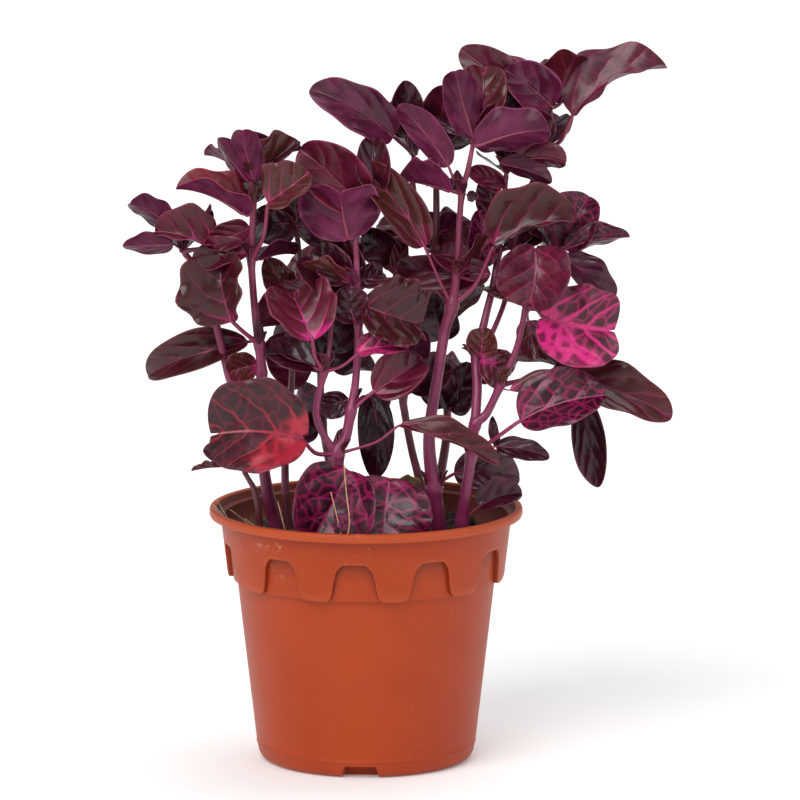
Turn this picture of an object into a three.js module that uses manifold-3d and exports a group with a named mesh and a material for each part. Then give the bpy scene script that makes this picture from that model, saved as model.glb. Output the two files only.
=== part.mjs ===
// A bloodleaf plant in a round nursery pot: millimetres, +Z up. The origin is on the ground, at the middle of
// the whole plant's box. Sizes below are measured from the pot's axis, which stands a little to the left of it.
// The plant's front is towards -Y. Every stem, leaf group, the soil and the pot is its own closed mesh.
import * as THREE from "three";
import { mergeVertices } from "three/addons/utils/BufferGeometryUtils.js";
import Module from "manifold-3d";

const wasm = await Module();
wasm.setup();

// ---------------------------------------------------------------- driving dimensions
const GAP = 0.3; // clearance between pieces that touch

const POT = {
  height: 98,
  rimRadius: 60,
  lipHeight: 3.5,
  collarTop: 55.8, // radius just below the lip
  collarBottom: 52.6, // radius at the collar's lower edge
  collarFoot: 70.5, // height of that edge
  bodyTop: 49.5, // radius under the collar
  bodyFoot: 42, // radius above the rounded foot
  footRadius: 38,
  ringInner: 34, // inner radius of the foot ring
  seat: 38.8, // radius inside the wall where the floor lies on the foot ring
  seatHeight: 4.9,
  floorUnder: 5.2,
  floorTop: 6.6,
  wall: 1.1,
  panelRadius: 49.8, // recessed panel behind the collar's windows
  sides: 48,
};
const WINDOW = {
  angles: [-77, -37, -4.5, 28, 62, 98, 135, 172, 209, 246], // degrees from the front, + towards +X
  halfWidthFoot: 9.3, // degrees
  halfWidthTop: 5.2,
  top: 85,
};
const NOTCH = { angles: [-3, 117, 237], width: 14, height: 4.9, slant: 1.2 };
const DRAIN = { count: 6, radius: 4, circle: 21 };
const SOIL = { level: 87.5, crown: 1.5, under: 7, sides: 36 };

const LEAF = {
  thickness: 1.3, // on the midrib
  petiole: 0.85, // half the stalk's width
  leastHalfWidth: 0.7,
  fold: 12, // degrees, where a leaf gives none of its own
  bow: 0.04, // of its length, where it gives none
};
const STEM_SIDES = 6;
const KNOT_GROWTH = 1.3; // how far a leaf joint's collar stands out from the stem

const FINISH = {
  pot: { color: 0xb04a29, roughness: 0.55, metalness: 0 },
  soil: { color: 0x3a2618, roughness: 1, metalness: 0 },
  stem: { color: 0x8a2c55, roughness: 0.4, metalness: 0 },
  brown_stem: { color: 0x6b3436, roughness: 0.45, metalness: 0 },
  dark: { color: 0x2e1518, roughness: 0.35, metalness: 0 },
  wine: { color: 0x6b1c33, roughness: 0.35, metalness: 0 },
  plum: { color: 0x6b3347, roughness: 0.4, metalness: 0 },
  veined: { color: 0x5a2233, roughness: 0.35, metalness: 0 },
  pink: { color: 0xc93a7e, roughness: 0.35, metalness: 0 },
  coral: { color: 0xb23a3c, roughness: 0.35, metalness: 0 },
  olive: { color: 0x51402a, roughness: 0.4, metalness: 0 },
};

// ---------------------------------------------------------------- stems: [x, y, z, radius] along branches
const STEMS = {
  stem_left: {
    finish: "stem",
    branches: [
      [[-33, -12, 76, 2.6], [-34.4, -12, 92, 2.6], [-37.5, -13, 106, 2.4], [-39, -14, 118, 2.1],
       [-39, -15, 134, 2], [-39.5, -15, 152, 1.9], [-40.3, -15, 163, 1.9], [-42, -15, 176, 1.5],
       [-43.3, -14, 195, 1.4], [-42.8, -13.5, 208, 1.3], [-42.6, -13, 216, 1.2], [-43.3, -12.5, 226, 0.9]],
      [[-39, -14, 118, 2], [-41.5, -11, 128, 1.9], [-47, -8, 140, 1.9], [-51.3, -6, 147, 1.8],
       [-53.5, -5, 155, 1.7], [-56, -5, 165, 1.6], [-58.5, -5, 175, 1.5], [-61.8, -5, 186, 1.4],
       [-66, -5, 193, 1.2], [-69.5, -5, 197, 1]],
    ],
  },
  stem_left_back: {
    finish: "brown_stem",
    branches: [
      [[-28, 8, 76, 1.6], [-30.5, 9, 95, 1.6], [-31.2, 10, 110, 1.5], [-30.5, 10, 124, 1.4],
       [-29, 10, 138, 1.3], [-27.9, 10, 157, 1.2], [-26, 10, 178, 1.2], [-25.3, 10, 190, 1.1],
       [-26.5, 10, 203, 1]],
    ],
  },
  stem_front: {
    finish: "stem",
    branches: [
      [[-7, -22, 76, 2.8], [-8, -24, 92, 2.7], [-9.2, -24.5, 105, 2.6], [-11, -25, 122.5, 2.6],
       [-7.8, -24, 128, 2.1], [-5.6, -22, 138.5, 1.9], [-3.7, -20, 151, 1.5], [-2.7, -18, 171, 1.4],
       [-3.3, -17, 186, 1.4], [-3.5, -16, 197, 1.2], [-4.2, -15, 206, 1]],
      [[-11, -25, 122.5, 2], [-15.5, -25, 129, 1.5], [-18.6, -25, 137.5, 1.5], [-17.3, -25, 147, 1.3],
       [-15.5, -24, 154, 1.3], [-13.8, -22, 162, 0.9], [-13, -20, 172, 0.9], [-13.5, -18, 178, 0.8]],
    ],
  },
  stem_middle: {
    finish: "brown_stem",
    branches: [
      [[24, 10, 76, 1.8], [22.5, 12, 96, 1.7], [19.8, 14, 108, 1.6], [17.5, 15, 117, 1.5],
       [14.9, 15, 131, 1.5], [14.3, 15, 139, 1.6], [16.9, 16, 156, 1.4], [21.4, 17, 171, 1.4],
       [24.5, 17, 181, 1.4], [26.6, 16, 196, 1.4], [26.9, 15, 214, 1.3], [26.5, 15, 232, 1]],
    ],
  },
  stem_back: {
    finish: "brown_stem",
    branches: [
      [[-2, 22, 76, 1.3], [1.5, 24, 95, 1.2], [4, 25, 112, 1.2], [6, 25, 125, 1.1],
       [8.6, 25, 136, 1.1], [10.2, 25, 156, 1], [11.5, 24, 184, 1], [14.5, 22, 197, 1],
       [18.5, 20, 211, 1.1], [17.8, 18, 221, 1.2], [18.3, 17, 231, 0.9]],
    ],
  },
  stem_main: {
    finish: "stem",
    branches: [
      [[29.5, -8, 76, 3.2], [28, -9, 92, 3.1], [26, -10, 106, 2.9], [24.2, -10, 121, 2.5],
       [24.6, -10, 132.5, 2.3], [27, -10, 148, 2.2], [30, -10, 167, 2.1], [32.8, -10, 177, 2.3],
       [34.7, -10, 192, 1.2], [35.5, -10, 208, 1.2], [36.4, -10, 220, 1.2], [38.8, -10, 229.5, 1.1],
       [41, -9, 241, 0.8]],
    ],
  },
  stem_right: {
    finish: "stem",
    branches: [
      [[35.5, -16, 76, 2.3], [36.5, -18, 95, 2.3], [38, -20, 106, 2.1], [40, -20, 121, 1.9],
       [41.5, -20, 133, 2], [45.7, -20, 137, 1.6], [51, -20, 148, 1.5], [56.8, -19, 161, 1.3],
       [59.3, -18, 171, 1.2], [61, -17, 177.5, 1.3], [66, -8, 187, 1.1], [72, -5, 196, 0.9]],
      [[41.5, -20, 133, 1.9], [42.3, -15, 146, 1.9], [42.2, -10, 157, 1.9], [45.5, -6, 172, 1.5],
       [48.3, -2, 183, 1.4], [50.5, 2, 196, 1.3], [52, 4, 210, 1.3], [53.5, 5, 226, 0.9]],
      [[42.2, -10, 157, 1.4], [46.4, -8, 163, 1.1], [51, -2, 172, 1], [54, 2, 181, 1.1],
       [56.3, 5, 196, 1.2], [59.8, 6, 212, 1.4], [64.4, 6, 224, 1.4], [67.3, 6, 235, 1.4],
       [69.7, 6, 244, 1], [70.3, 6, 251, 0.8]],
    ],
  },
  stem_small: {
    finish: "brown_stem",
    branches: [
      [[-39.5, -24, 76, 1.2], [-40.5, -25, 98, 1.2], [-42, -25, 108, 1.2], [-44.5, -25, 113, 1],
       [-46.5, -25, 116.5, 0.8]],
    ],
  },
  stem_rear_left: {
    finish: "brown_stem",
    branches: [
      [[-12, 25, 76, 1.8], [-13, 28, 100, 1.7], [-17, 30, 125, 1.5], [-17.5, 30, 146, 1.4],
       [-15, 30, 160, 1.2], [-15, 30, 173, 1]],
    ],
  },
  stem_rear_right: {
    finish: "brown_stem",
    branches: [
      [[25, 25, 76, 2], [28, 28, 100, 1.9], [31, 30, 120, 1.7], [31, 30, 138, 1.5],
       [29, 30, 151, 1.3], [29, 30, 161, 1]],
    ],
  },
};

// ---------------------------------------------------------------- leaves
// Every group grows from one joint on a stem. A leaf has the foot of its blade, its tip, its width, the way its
// upper side faces, and options: fold in degrees, round, via (a point on its stalk) and bow.
const leaf = (foot, tip, width, face, options = {}) => ({ foot, tip, width, face, ...options });

const LEAVES = {
  leaves_far_left_tip: {
    stem: "stem_left", at: [-69.5, -5, 197], knot: 2, finish: "plum",
    blades: [
      leaf([-74, -6, 206], [-88, -8, 217], 10.5, [0, 1, 0.3]),
      leaf([-74, -9, 200.5], [-91, -10, 201], 10, [0, 1, 0.5]),
      leaf([-60.5, -9, 200.5], [-76, -9, 206], 15, [0, -1, 1.2], { fold: 35, via: [-66, -7, 198] }),
      leaf([-66, -4, 206], [-60, -4, 213.5], 4, [1, 0, 0.5]),
      leaf([-64, -5, 205], [-58.5, -5.5, 210.5], 4.5, [1, -0.5, 0.5]),
    ],
  },
  leaves_left_tip: {
    stem: "stem_left", at: [-43.3, -12.5, 226], knot: 1.7, finish: "plum",
    blades: [
      leaf([-42.5, -15, 227], [-46, -16, 244.5], 11, [0, 1, 0.2], { fold: 15 }),
      leaf([-46, -13, 227], [-54, -13, 239], 7, [0.6, 1, 0], { fold: 25 }),
      leaf([-41, -9, 227], [-41, -6, 240], 15, [0, 1, 0.3]),
      leaf([-38, -7, 229], [-27, -4, 237], 6, [0, -0.5, 1]),
    ],
  },
  leaves_left_high: {
    stem: "stem_left", at: [-42.6, -13, 216], knot: 2.2, finish: "wine",
    blades: [
      leaf([-46, -14, 213], [-67.5, -16, 226], 22, [0.2, -0.2, 1], { fold: 48 }),
    ],
  },
  leaves_left_middle: {
    stem: "stem_left", at: [-43.3, -14, 195], knot: 2.4, finish: "wine",
    blades: [
      leaf([-36, -20, 218.5], [-22, -21, 229], 21, [-0.3, -1, 0.6], { fold: 28, via: [-38.5, -18, 205] }),
      leaf([-47, -15, 198], [-63, -12, 195.5], 10, [0, -1, 0.8]),
      leaf([-46, -11, 206], [-58, -12, 201.5], 8, [0, -1, 0.3]),
    ],
  },
  leaves_left_low: {
    stem: "stem_left", at: [-40.3, -15, 163], knot: 3, finish: "veined",
    blades: [
      leaf([-51, -20, 174], [-56, -19, 195], 30, [-0.6, -1, 0.1], { fold: 25, round: 1, via: [-46, -18, 168] }),
      leaf([-47, 0, 161], [-83, 4, 150.5], 15, [0, -1, 0.5], { bow: 0.14 }),
    ],
  },
  leaf_left_cup: {
    stem: "stem_left", at: [-39.5, -15, 152], finish: "olive",
    blades: [leaf([-43, -12, 154], [-50.5, -12, 152], 10, [0, -1, 0.2], { fold: 25, round: 1 })],
  },
  leaves_left_back_tip: {
    stem: "stem_left_back", at: [-26.5, 10, 203], knot: 2, finish: "dark",
    blades: [
      leaf([-29, 10, 206], [-41, 9, 206], 12, [0, -1, 0.2]),
      leaf([-24, 10, 205], [-10, 12, 207], 12, [0, -1, 0.1]),
      leaf([-26.5, 12, 207], [-28, 18, 217], 12, [0, -1, 0.3]),
    ],
  },
  leaves_left_back: {
    stem: "stem_left_back", at: [-26, 10, 178], knot: 2.3, finish: "dark",
    blades: [
      leaf([-30, 7, 180], [-37, 5, 191], 9, [0, -1, 0.5]),
      leaf([-29, 6, 175], [-40, 2, 170], 10, [0, 1, 0.3]),
    ],
  },
  leaves_front_left: {
    stem: "stem_front", at: [-15.5, -24, 154], knot: 2.4, finish: "pink",
    blades: [
      leaf([-20.5, -28, 168], [-27, -17, 183.5], 25, [0.1, -1, 1], { round: 1, via: [-19, -27, 160] }),
      leaf([-2, -27, 161.5], [15, -26, 164], 13, [0, -0.8, 1], { fold: 25, via: [-9, -27, 156.5] }),
    ],
  },
  leaf_front_left_top: {
    stem: "stem_front", at: [-13.5, -18, 178], knot: 1.7, finish: "dark",
    blades: [leaf([-14, -14, 182], [-20, -10, 194], 15, [0.3, -1, 0.2], { round: 1 })],
  },
  leaves_front_middle: {
    stem: "stem_front", at: [-2.7, -18, 171], knot: 2.5, finish: "dark",
    blades: [
      leaf([-4.5, -21.5, 175], [-6, -22, 184], 10, [0, -1, 0.2], { round: 1 }),
      leaf([1.5, -21, 178], [20, -20, 172], 28, [-0.1, -1, 0.5], { fold: 20, round: 1 }),
      leaf([5, -17, 171], [20, -16, 166.5], 6, [0, 0.6, 1]),
    ],
  },
  leaves_front_high: {
    stem: "stem_front", at: [-3.3, -17, 186], knot: 2.4, finish: "dark",
    blades: [
      leaf([-5, -13, 189], [-13.5, -10, 200], 13, [0, -1, 0], { round: 1 }),
      leaf([-1, -14, 187], [5.5, -12, 190], 7, [0, -1, 0.3]),
    ],
  },
  leaves_front_tip: {
    stem: "stem_front", at: [-4.2, -15, 206], knot: 2, finish: "wine",
    blades: [
      leaf([-7, -18, 206.5], [-9, -20, 221], 24, [0, 1, 0.3], { fold: 20, round: 1 }),
      leaf([-4, -12, 217], [-23, -13, 236], 20, [0.2, -1, 0.1], { bow: 0.05 }),
      leaf([3, -11, 222], [3, -11, 240], 12, [0, -1, -0.1]),
    ],
  },
  leaves_front_low: {
    stem: "stem_front", at: [-5.6, -22, 138.5], knot: 3, finish: "wine",
    blades: [
      leaf([4, -24, 147], [21, -18, 158], 17, [0, -1, 0.4], { via: [0, -24, 144] }),
      leaf([-8, -19, 142], [-16.5, -17, 139], 8, [0, -1, 0]),
    ],
  },
  leaves_front_fork: {
    stem: "stem_front", at: [-11, -25, 122.5], knot: 4, finish: "coral",
    blades: [
      leaf([-26, -36, 131], [-56, -38, 133.5], 36, [0, -1, 0.55], { fold: 18, round: 1, via: [-19, -31, 124] }),
      leaf([14.5, -31, 134], [49, -33, 124], 13, [0, -0.5, 1], { fold: 25, via: [4, -30, 128] }),
    ],
  },
  leaves_pot_front: {
    stem: "stem_front", at: [-9.2, -24.5, 105], knot: 3.8, finish: "veined",
    blades: [
      leaf([7, -33, 114], [6, -45, 94], 28, [0, -1, 0.4], { round: 1 }),
      leaf([-16, -33, 117], [-24, -41, 100], 20, [0.2, -1, 0.4], { via: [-15, -30, 109] }),
    ],
  },
  leaves_small_shoot: {
    stem: "stem_small", at: [-46.5, -25, 116.5], knot: 1.7, finish: "dark",
    blades: [
      leaf([-49.5, -26, 121], [-59, -27, 124.5], 7, [0, -1, 0.5]),
      leaf([-55, -27, 118], [-64, -29, 117], 5, [0, 0.3, 1]),
      leaf([-46, -22, 119], [-41, -20, 119.5], 5, [0, -1, 0.3]),
    ],
  },
  leaves_middle_low: {
    stem: "stem_middle", at: [14.3, 15, 139], knot: 2.7, finish: "dark",
    blades: [
      leaf([16.5, 8, 151], [21, 6, 162], 10, [0, -1, 0.2]),
      leaf([15, 24, 143], [18, 40, 148], 10, [0, -0.4, 1]),
      leaf([19, 16, 141], [29, 20, 149], 11, [0, -1, 0.3]),
    ],
  },
  leaves_middle_high: {
    stem: "stem_middle", at: [26.6, 16, 196], knot: 2.4, finish: "plum",
    blades: [
      leaf([27, 20, 196], [28, 21, 206], 12, [0, 1, 0.2], { round: 1 }),
      leaf([31, 22, 196], [40, 38, 203], 18, [0, -0.4, 1]),
    ],
  },
  leaves_middle_tip: {
    stem: "stem_middle", at: [26.5, 15, 232], knot: 1.8, finish: "wine",
    blades: [
      leaf([26, 14, 241], [29, 13, 255], 13, [0, -1, 0]),
      leaf([23, 14, 236], [20, 13, 244], 5, [0, -1, 0]),
      leaf([29, 15, 235], [31, 15, 243], 5, [0, -1, 0]),
      leaf([27, 22, 237], [26, 38, 246], 18, [0, -0.4, 1]),
    ],
  },
  leaves_back_tip: {
    stem: "stem_back", at: [18.3, 17, 231], knot: 1.7, finish: "plum",
    blades: [
      leaf([16, 8, 240], [15, 5, 260], 13, [0, -1, 0.1]),
      leaf([9, 3, 241], [-15.5, -4, 259], 17, [0, -1, 0.5]),
      leaf([14, 22, 238], [6, 36, 248], 17, [0, -0.4, 1]),
    ],
  },
  leaves_back_middle: {
    stem: "stem_back", at: [11.5, 24, 184], knot: 1.9, finish: "dark",
    blades: [
      leaf([11.5, 20, 188], [13, 18, 198], 5, [0, -1, 0]),
      leaf([9, 20, 192], [1, 16, 200], 10, [0, -1, 0]),
      leaf([9, 30, 187], [0, 44, 196], 19, [0, -0.4, 1]),
    ],
  },
  leaf_back_hanging: {
    stem: "stem_back", at: [8.6, 25, 136], finish: "dark",
    blades: [leaf([2, 20, 137], [3, 14, 108], 13, [0, -1, -0.3])],
  },
  leaves_main_left: {
    stem: "stem_main", at: [32.8, -10, 177], knot: 3.6, finish: "olive",
    blades: [
      leaf([21, -13, 202], [-1, -15, 230], 15, [0.2, -1, 0.1], { via: [28, -13, 187] }),
      leaf([50, -12, 201], [76.5, -14, 212], 24, [-0.1, -0.8, 1], { fold: 30, via: [42, -12, 186] }),
    ],
  },
  leaves_main_right: {
    stem: "stem_main", at: [34.3, -10, 188.5], knot: 2.6, finish: "wine",
    blades: [
      leaf([45.5, -4, 188.5], [13, 1, 191], 14, [0, -1, 0.2], { via: [42, -6, 186] }),
      leaf([43, -1, 192], [43, -1, 211], 13, [0.2, -1, 0]),
    ],
  },
  leaves_main_high: {
    stem: "stem_main", at: [36.4, -10, 220], knot: 2.3, finish: "plum",
    blades: [
      leaf([30.5, -10, 231.5], [14, -9, 253], 12, [0, 1, 0.2], { via: [33.5, -10, 225] }),
      leaf([39, -10.5, 219.5], [41.5, -10.5, 219], 3, [0, -1, 0]),
    ],
  },
  leaves_main_tip: {
    stem: "stem_main", at: [41, -9, 241], knot: 1.7, finish: "plum",
    blades: [
      leaf([40.5, -12, 243], [34.4, -12, 266], 14, [0, 1, 0.1]),
      leaf([43, -6, 250], [44, -5, 264], 14, [0, -1, 0.2], { round: 1 }),
      leaf([45, -9, 248], [52, -9, 253], 5, [0, -1, 0.3]),
      leaf([43, -14, 239], [67.5, -16, 247], 17, [0, 1, 0.4]),
    ],
  },
  leaves_right_node: {
    stem: "stem_right", at: [61, -17, 177.5], knot: 2.5, finish: "pink",
    blades: [
      leaf([68.5, -22, 174], [92, -25, 171], 30, [0.1, -1, 0.3], { round: 1, via: [65, -20, 177] }),
      leaf([62, -14, 170], [64, -13, 160], 8, [0, 1, 0]),
    ],
  },
  leaf_right_round: {
    stem: "stem_right", at: [66, -8, 187], knot: 2.2, finish: "veined",
    blades: [leaf([64, -20, 199], [62, -27, 181], 26, [0, -1, 0.4], { round: 1, via: [66, -13, 197] })],
  },
  leaves_right_tip: {
    stem: "stem_right", at: [72, -5, 196], knot: 1.8, finish: "plum",
    blades: [
      leaf([76, -6, 194], [94, -8, 181], 13, [0, -1, 0.8]),
      leaf([77, -9, 199], [98.5, -11, 204.5], 10, [0, 1, 0.6]),
      leaf([77, -4, 201], [83, -3, 215], 15, [-0.2, -1, 0.1]),
      leaf([73, 2, 199], [80, 20, 206], 18, [0, -0.4, 1]),
    ],
  },
  leaves_right_low: {
    stem: "stem_right", at: [40, -20, 121], knot: 3.2, finish: "veined",
    blades: [
      leaf([60, -26, 136], [89, -28, 145], 24, [0, -1, 0.8], { via: [50, -24, 129] }),
      leaf([52, -22, 124.5], [66.5, -24, 122], 7, [0, -1, 0.6]),
      leaf([50.5, -20, 125], [48.5, -19, 134], 3, [0, -1, 0]),
    ],
  },
  leaves_right_branch: {
    stem: "stem_right", at: [51, -20, 148], knot: 2.7, finish: "plum",
    blades: [
      leaf([72, -14, 150.5], [114, -18, 138.5], 19, [0, -1, 1], { via: [60, -18, 150] }),
      leaf([56, -23, 147], [81, -22, 152], 7, [0, 1, 0.3]),
      leaf([82, -9, 141], [88, -10, 109], 12, [0, -1, 0], { via: [68, -12, 149] }),
    ],
  },
  leaves_right_fork: {
    stem: "stem_right", at: [42.2, -10, 157], knot: 3.1, finish: "olive",
    blades: [
      leaf([43.5, -14, 160], [44, -16, 167], 9, [0, -1, 0.3], { round: 1 }),
      leaf([46, -14, 157], [53, -13, 151], 11, [0, -1, 0.3], { round: 1 }),
      leaf([57, -10, 157], [74, -12, 157.5], 8, [0, 1, 0.5]),
    ],
  },
  leaves_upper_right: {
    stem: "stem_right", at: [67.3, 6, 235], knot: 2.5, finish: "veined",
    blades: [
      leaf([80, 3, 249.5], [107, 0, 271], 25, [-0.5, -0.6, 0.8], { fold: 30, via: [74, 5, 238] }),
      leaf([60, 0, 231], [73.5, -3, 232], 9, [0, 1, 0.4]),
      leaf([66, 1, 240], [63, -2, 249], 10, [0, -1, 0.2], { round: 1 }),
    ],
  },
  leaves_upper_right_tip: {
    stem: "stem_right", at: [70.3, 6, 251], knot: 1.7, finish: "wine",
    blades: [
      leaf([62, 3, 252], [39, 0, 272], 17, [0.1, -1, 0.1]),
      leaf([67, 8, 262], [50, 8, 270], 6, [0, -0.5, 1]),
      leaf([68, 0, 254], [56, -4, 264], 13, [0, -1, 0.2]),
      leaf([75, 7, 255], [79, 6, 269], 14, [0, 1, 0.2]),
      leaf([72, 13, 256], [76, 30, 264], 18, [0, -0.4, 1]),
    ],
  },
  leaves_inner_right_tip: {
    stem: "stem_right", at: [53.5, 5, 226], knot: 1.8, finish: "dark",
    blades: [
      leaf([52, 0, 230], [70, -3, 225], 9, [0, 1, 0.5]),
      leaf([50, 2, 221], [41.5, 0, 226], 6, [0, -1, 0.2]),
      leaf([55, 6, 228], [57, 7, 233], 4, [0, -1, 0]),
      leaf([54, 12, 228], [50, 28, 238], 17, [0, -0.4, 1]),
    ],
  },
  leaf_inner_right: {
    stem: "stem_right", at: [50.5, 2, 196], knot: 2.3, finish: "wine",
    blades: [
      leaf([49, 6, 206], [45, 6, 220], 9, [0, -1, 0]),
      leaf([54, 8, 198], [64, 24, 204], 18, [0, -0.4, 1]),
    ],
  },
  leaves_pot_right: {
    stem: "stem_main", at: [26, -10, 106], knot: 3.9, finish: "dark",
    blades: [
      leaf([35, 2, 110], [58, 4, 110], 16, [0, -1, 0.4]),
      leaf([18, -16, 104], [12, -24, 108], 9, [0, -1, 0.6]),
    ],
  },
  leaf_pot_rim: {
    stem: "stem_right", at: [36.5, -18, 95], finish: "dark",
    blades: [leaf([45, -15, 101], [57, -12, 104.5], 9, [0, -1, 0.8])],
  },
  leaves_rear_left_low: {
    stem: "stem_rear_left", at: [-17, 30, 125], knot: 2.4, finish: "dark",
    blades: [
      leaf([-20, 25, 124], [-29, 20, 129], 9, [0, -1, 0.1]),
      leaf([-20, 36, 127], [-34, 50, 125], 20, [0, -0.4, 1]),
    ],
  },
  leaves_rear_left_middle: {
    stem: "stem_rear_left", at: [-17.5, 30, 146], knot: 2.4, finish: "dark",
    blades: [
      leaf([-22, 26, 147], [-37, 22, 158], 20, [0, -1, 0.2]),
      leaf([-14, 25, 150], [-10, 22, 163], 17, [0, -1, 0.2]),
      leaf([-18, 36, 150], [-20, 54, 157], 20, [0, -0.4, 1]),
    ],
  },
  leaves_rear_left_tip: {
    stem: "stem_rear_left", at: [-15, 30, 173], knot: 1.9, finish: "dark",
    blades: [
      leaf([-18, 27, 172], [-29, 22, 168], 13, [0, -1, 0.3]),
      leaf([-13, 35, 176], [-7, 51, 184], 18, [0, -0.4, 1]),
      leaf([-17, 33, 177], [-26, 41, 190], 17, [0, -1, 0.5]),
    ],
  },
  leaves_rear_right_low: {
    stem: "stem_rear_right", at: [31, 30, 138], knot: 2.4, finish: "dark",
    blades: [
      leaf([29, 25, 134], [24, 22, 149], 11, [0, -1, 0]),
      leaf([33, 25, 133], [38, 20, 147], 12, [0, -1, 0.2]),
      leaf([34, 36, 139], [45, 53, 141], 20, [0, -0.4, 1]),
    ],
  },
  leaves_rear_right_tip: {
    stem: "stem_rear_right", at: [29, 30, 161], knot: 1.9, finish: "dark",
    blades: [
      leaf([28, 26, 160], [25, 22, 173], 12, [0, -1, 0.2]),
      leaf([32, 36, 164], [40, 52, 174], 19, [0, -0.4, 1]),
      leaf([26, 36, 165], [14, 48, 172], 17, [0, -0.4, 1]),
    ],
  },
};

// ---------------------------------------------------------------- solids
const vec = (p) => new THREE.Vector3(p[0], p[1], p[2]);
const radians = THREE.MathUtils.degToRad;

// A closed manifold-3d solid from a three.js geometry.
function solid(geometry) {
  const bare = new THREE.BufferGeometry();
  bare.setAttribute("position", geometry.getAttribute("position"));
  if (geometry.index) bare.setIndex(geometry.index);
  const merged = mergeVertices(bare, 1e-3);
  return new wasm.Manifold(
    new wasm.Mesh({
      numProp: 3,
      vertProperties: new Float32Array(merged.attributes.position.array),
      triVerts: new Uint32Array(merged.index.array),
    }),
  );
}

// A closed skin over a row of rings, each ring anticlockwise about the way along the row.
function loft(rings) {
  const count = rings[0].length;
  const last = (rings.length - 1) * count;
  const index = [];
  for (let i = 0; i + 1 < rings.length; i++) {
    for (let j = 0; j < count; j++) {
      const a = i * count + j;
      const b = i * count + ((j + 1) % count);
      index.push(a, b, b + count, a, b + count, a + count);
    }
  }
  for (let j = 1; j + 1 < count; j++) {
    index.push(0, j + 1, j);
    index.push(last, last + j, last + j + 1);
  }
  const geometry = new THREE.BufferGeometry();
  geometry.setFromPoints(rings.flat());
  geometry.setIndex(index);
  return geometry;
}

// Unit directions along a row of points, and a normal carried along them from one point, without twist.
function frames(points, start, face) {
  const tangents = points.map((p, i) => {
    const before = points[Math.max(i - 1, 0)];
    const after = points[Math.min(i + 1, points.length - 1)];
    return after.clone().sub(before).normalize();
  });
  const normals = [];
  const square = (n, t) => n.clone().addScaledVector(t, -n.dot(t)).normalize();
  normals[start] = square(face, tangents[start]);
  for (let i = start + 1; i < points.length; i++) {
    normals[i] = square(normals[i - 1], tangents[i]);
  }
  for (let i = start - 1; i >= 0; i--) {
    normals[i] = square(normals[i + 1], tangents[i]);
  }
  return { tangents, normals };
}

// A round stem through [x, y, z, radius] points, grown by a margin.
function stemSolid(branch, margin) {
  const points = branch.map(vec);
  const face = new THREE.Vector3(0.3, -1, 0.1);
  const { tangents, normals } = frames(points, 0, face);
  const rings = points.map((p, i) => {
    const across = normals[i].clone().cross(tangents[i]);
    const ring = [];
    for (let k = 0; k < STEM_SIDES; k++) {
      const angle = (2 * Math.PI * k) / STEM_SIDES;
      const radius = branch[i][3] + margin;
      const point = p.clone().addScaledVector(across, radius * Math.cos(angle));
      ring.push(point.addScaledVector(normals[i], radius * Math.sin(angle)));
    }
    return ring;
  });
  const end = rings.length - 1;
  rings[0].forEach((p) => p.addScaledVector(tangents[0], -margin));
  rings[end].forEach((p) => p.addScaledVector(tangents[end], margin));
  return solid(loft(rings));
}

// How wide a blade is at stations along it, as a share of its width.
const OUTLINE = {
  stations: [0, 0.28, 0.68, 1],
  pointed: [0.14, 0.9, 0.86, 0.1],
  round: [0.24, 0.96, 0.98, 0.36],
};

// A leaf: a thin stalk from the joint to the foot of the blade, and a folded, bowed blade to its tip.
function leafSolid(joint, knot, blade, margin) {
  const foot = vec(blade.foot);
  const tip = vec(blade.tip);
  const along = tip.clone().sub(foot);
  const face = vec(blade.face);
  const square = face.clone().addScaledVector(along, -face.dot(along) / along.lengthSq()).normalize();
  const bow = 2 * (blade.bow ?? LEAF.bow) * along.length();
  const middle = foot.clone().lerp(tip, 0.5).addScaledVector(square, bow);
  const curve = new THREE.QuadraticBezierCurve3(foot, middle, tip);
  const halfway = blade.via ? vec(blade.via) : vec(joint).lerp(foot, 0.55).addScaledVector(along, -0.04);
  const root = vec(joint);
  root.addScaledVector(halfway.clone().sub(root).normalize(), 0.6 * (knot ?? 0));
  const points = [root, halfway, ...OUTLINE.stations.map((t) => curve.getPoint(t))];
  const first = 2;
  const { tangents, normals } = frames(points, first + 2, square);
  const shape = blade.round ? OUTLINE.round : OUTLINE.pointed;
  const rise = Math.tan(radians(blade.fold ?? LEAF.fold));
  const rings = points.map((p, i) => {
    const across = normals[i].clone().cross(tangents[i]);
    const onStalk = i < first;
    const share = onStalk ? 0 : shape[i - first];
    const spread = ((share * blade.width) / 2) * Math.cos(Math.atan(rise));
    const half = (onStalk ? LEAF.petiole : Math.max(spread, LEAF.leastHalfWidth)) + margin;
    const atEnd = onStalk || i === points.length - 1 || i === first;
    const lift = atEnd ? 0 : half * rise;
    const thick = (onStalk ? LEAF.petiole : LEAF.thickness / 2) + margin;
    return [
      p.clone().addScaledVector(across, half).addScaledVector(normals[i], lift),
      p.clone().addScaledVector(normals[i], thick),
      p.clone().addScaledVector(across, -half).addScaledVector(normals[i], lift),
      p.clone().addScaledVector(normals[i], -thick),
    ];
  });
  return solid(loft(rings));
}

// All leaves of one joint, joined by the joint's own collar round the stem.
function leafGroup(group, margin) {
  const parts = group.blades.map((blade) => leafSolid(group.at, group.knot, blade, margin));
  if (group.knot) {
    const collar = new THREE.IcosahedronGeometry(group.knot + KNOT_GROWTH + margin);
    collar.translate(...group.at);
    parts.push(solid(collar));
  }
  return parts.reduce((a, b) => a.add(b));
}

const largest = (body) => body.decompose().sort((a, b) => b.volume() - a.volume())[0];

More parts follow.
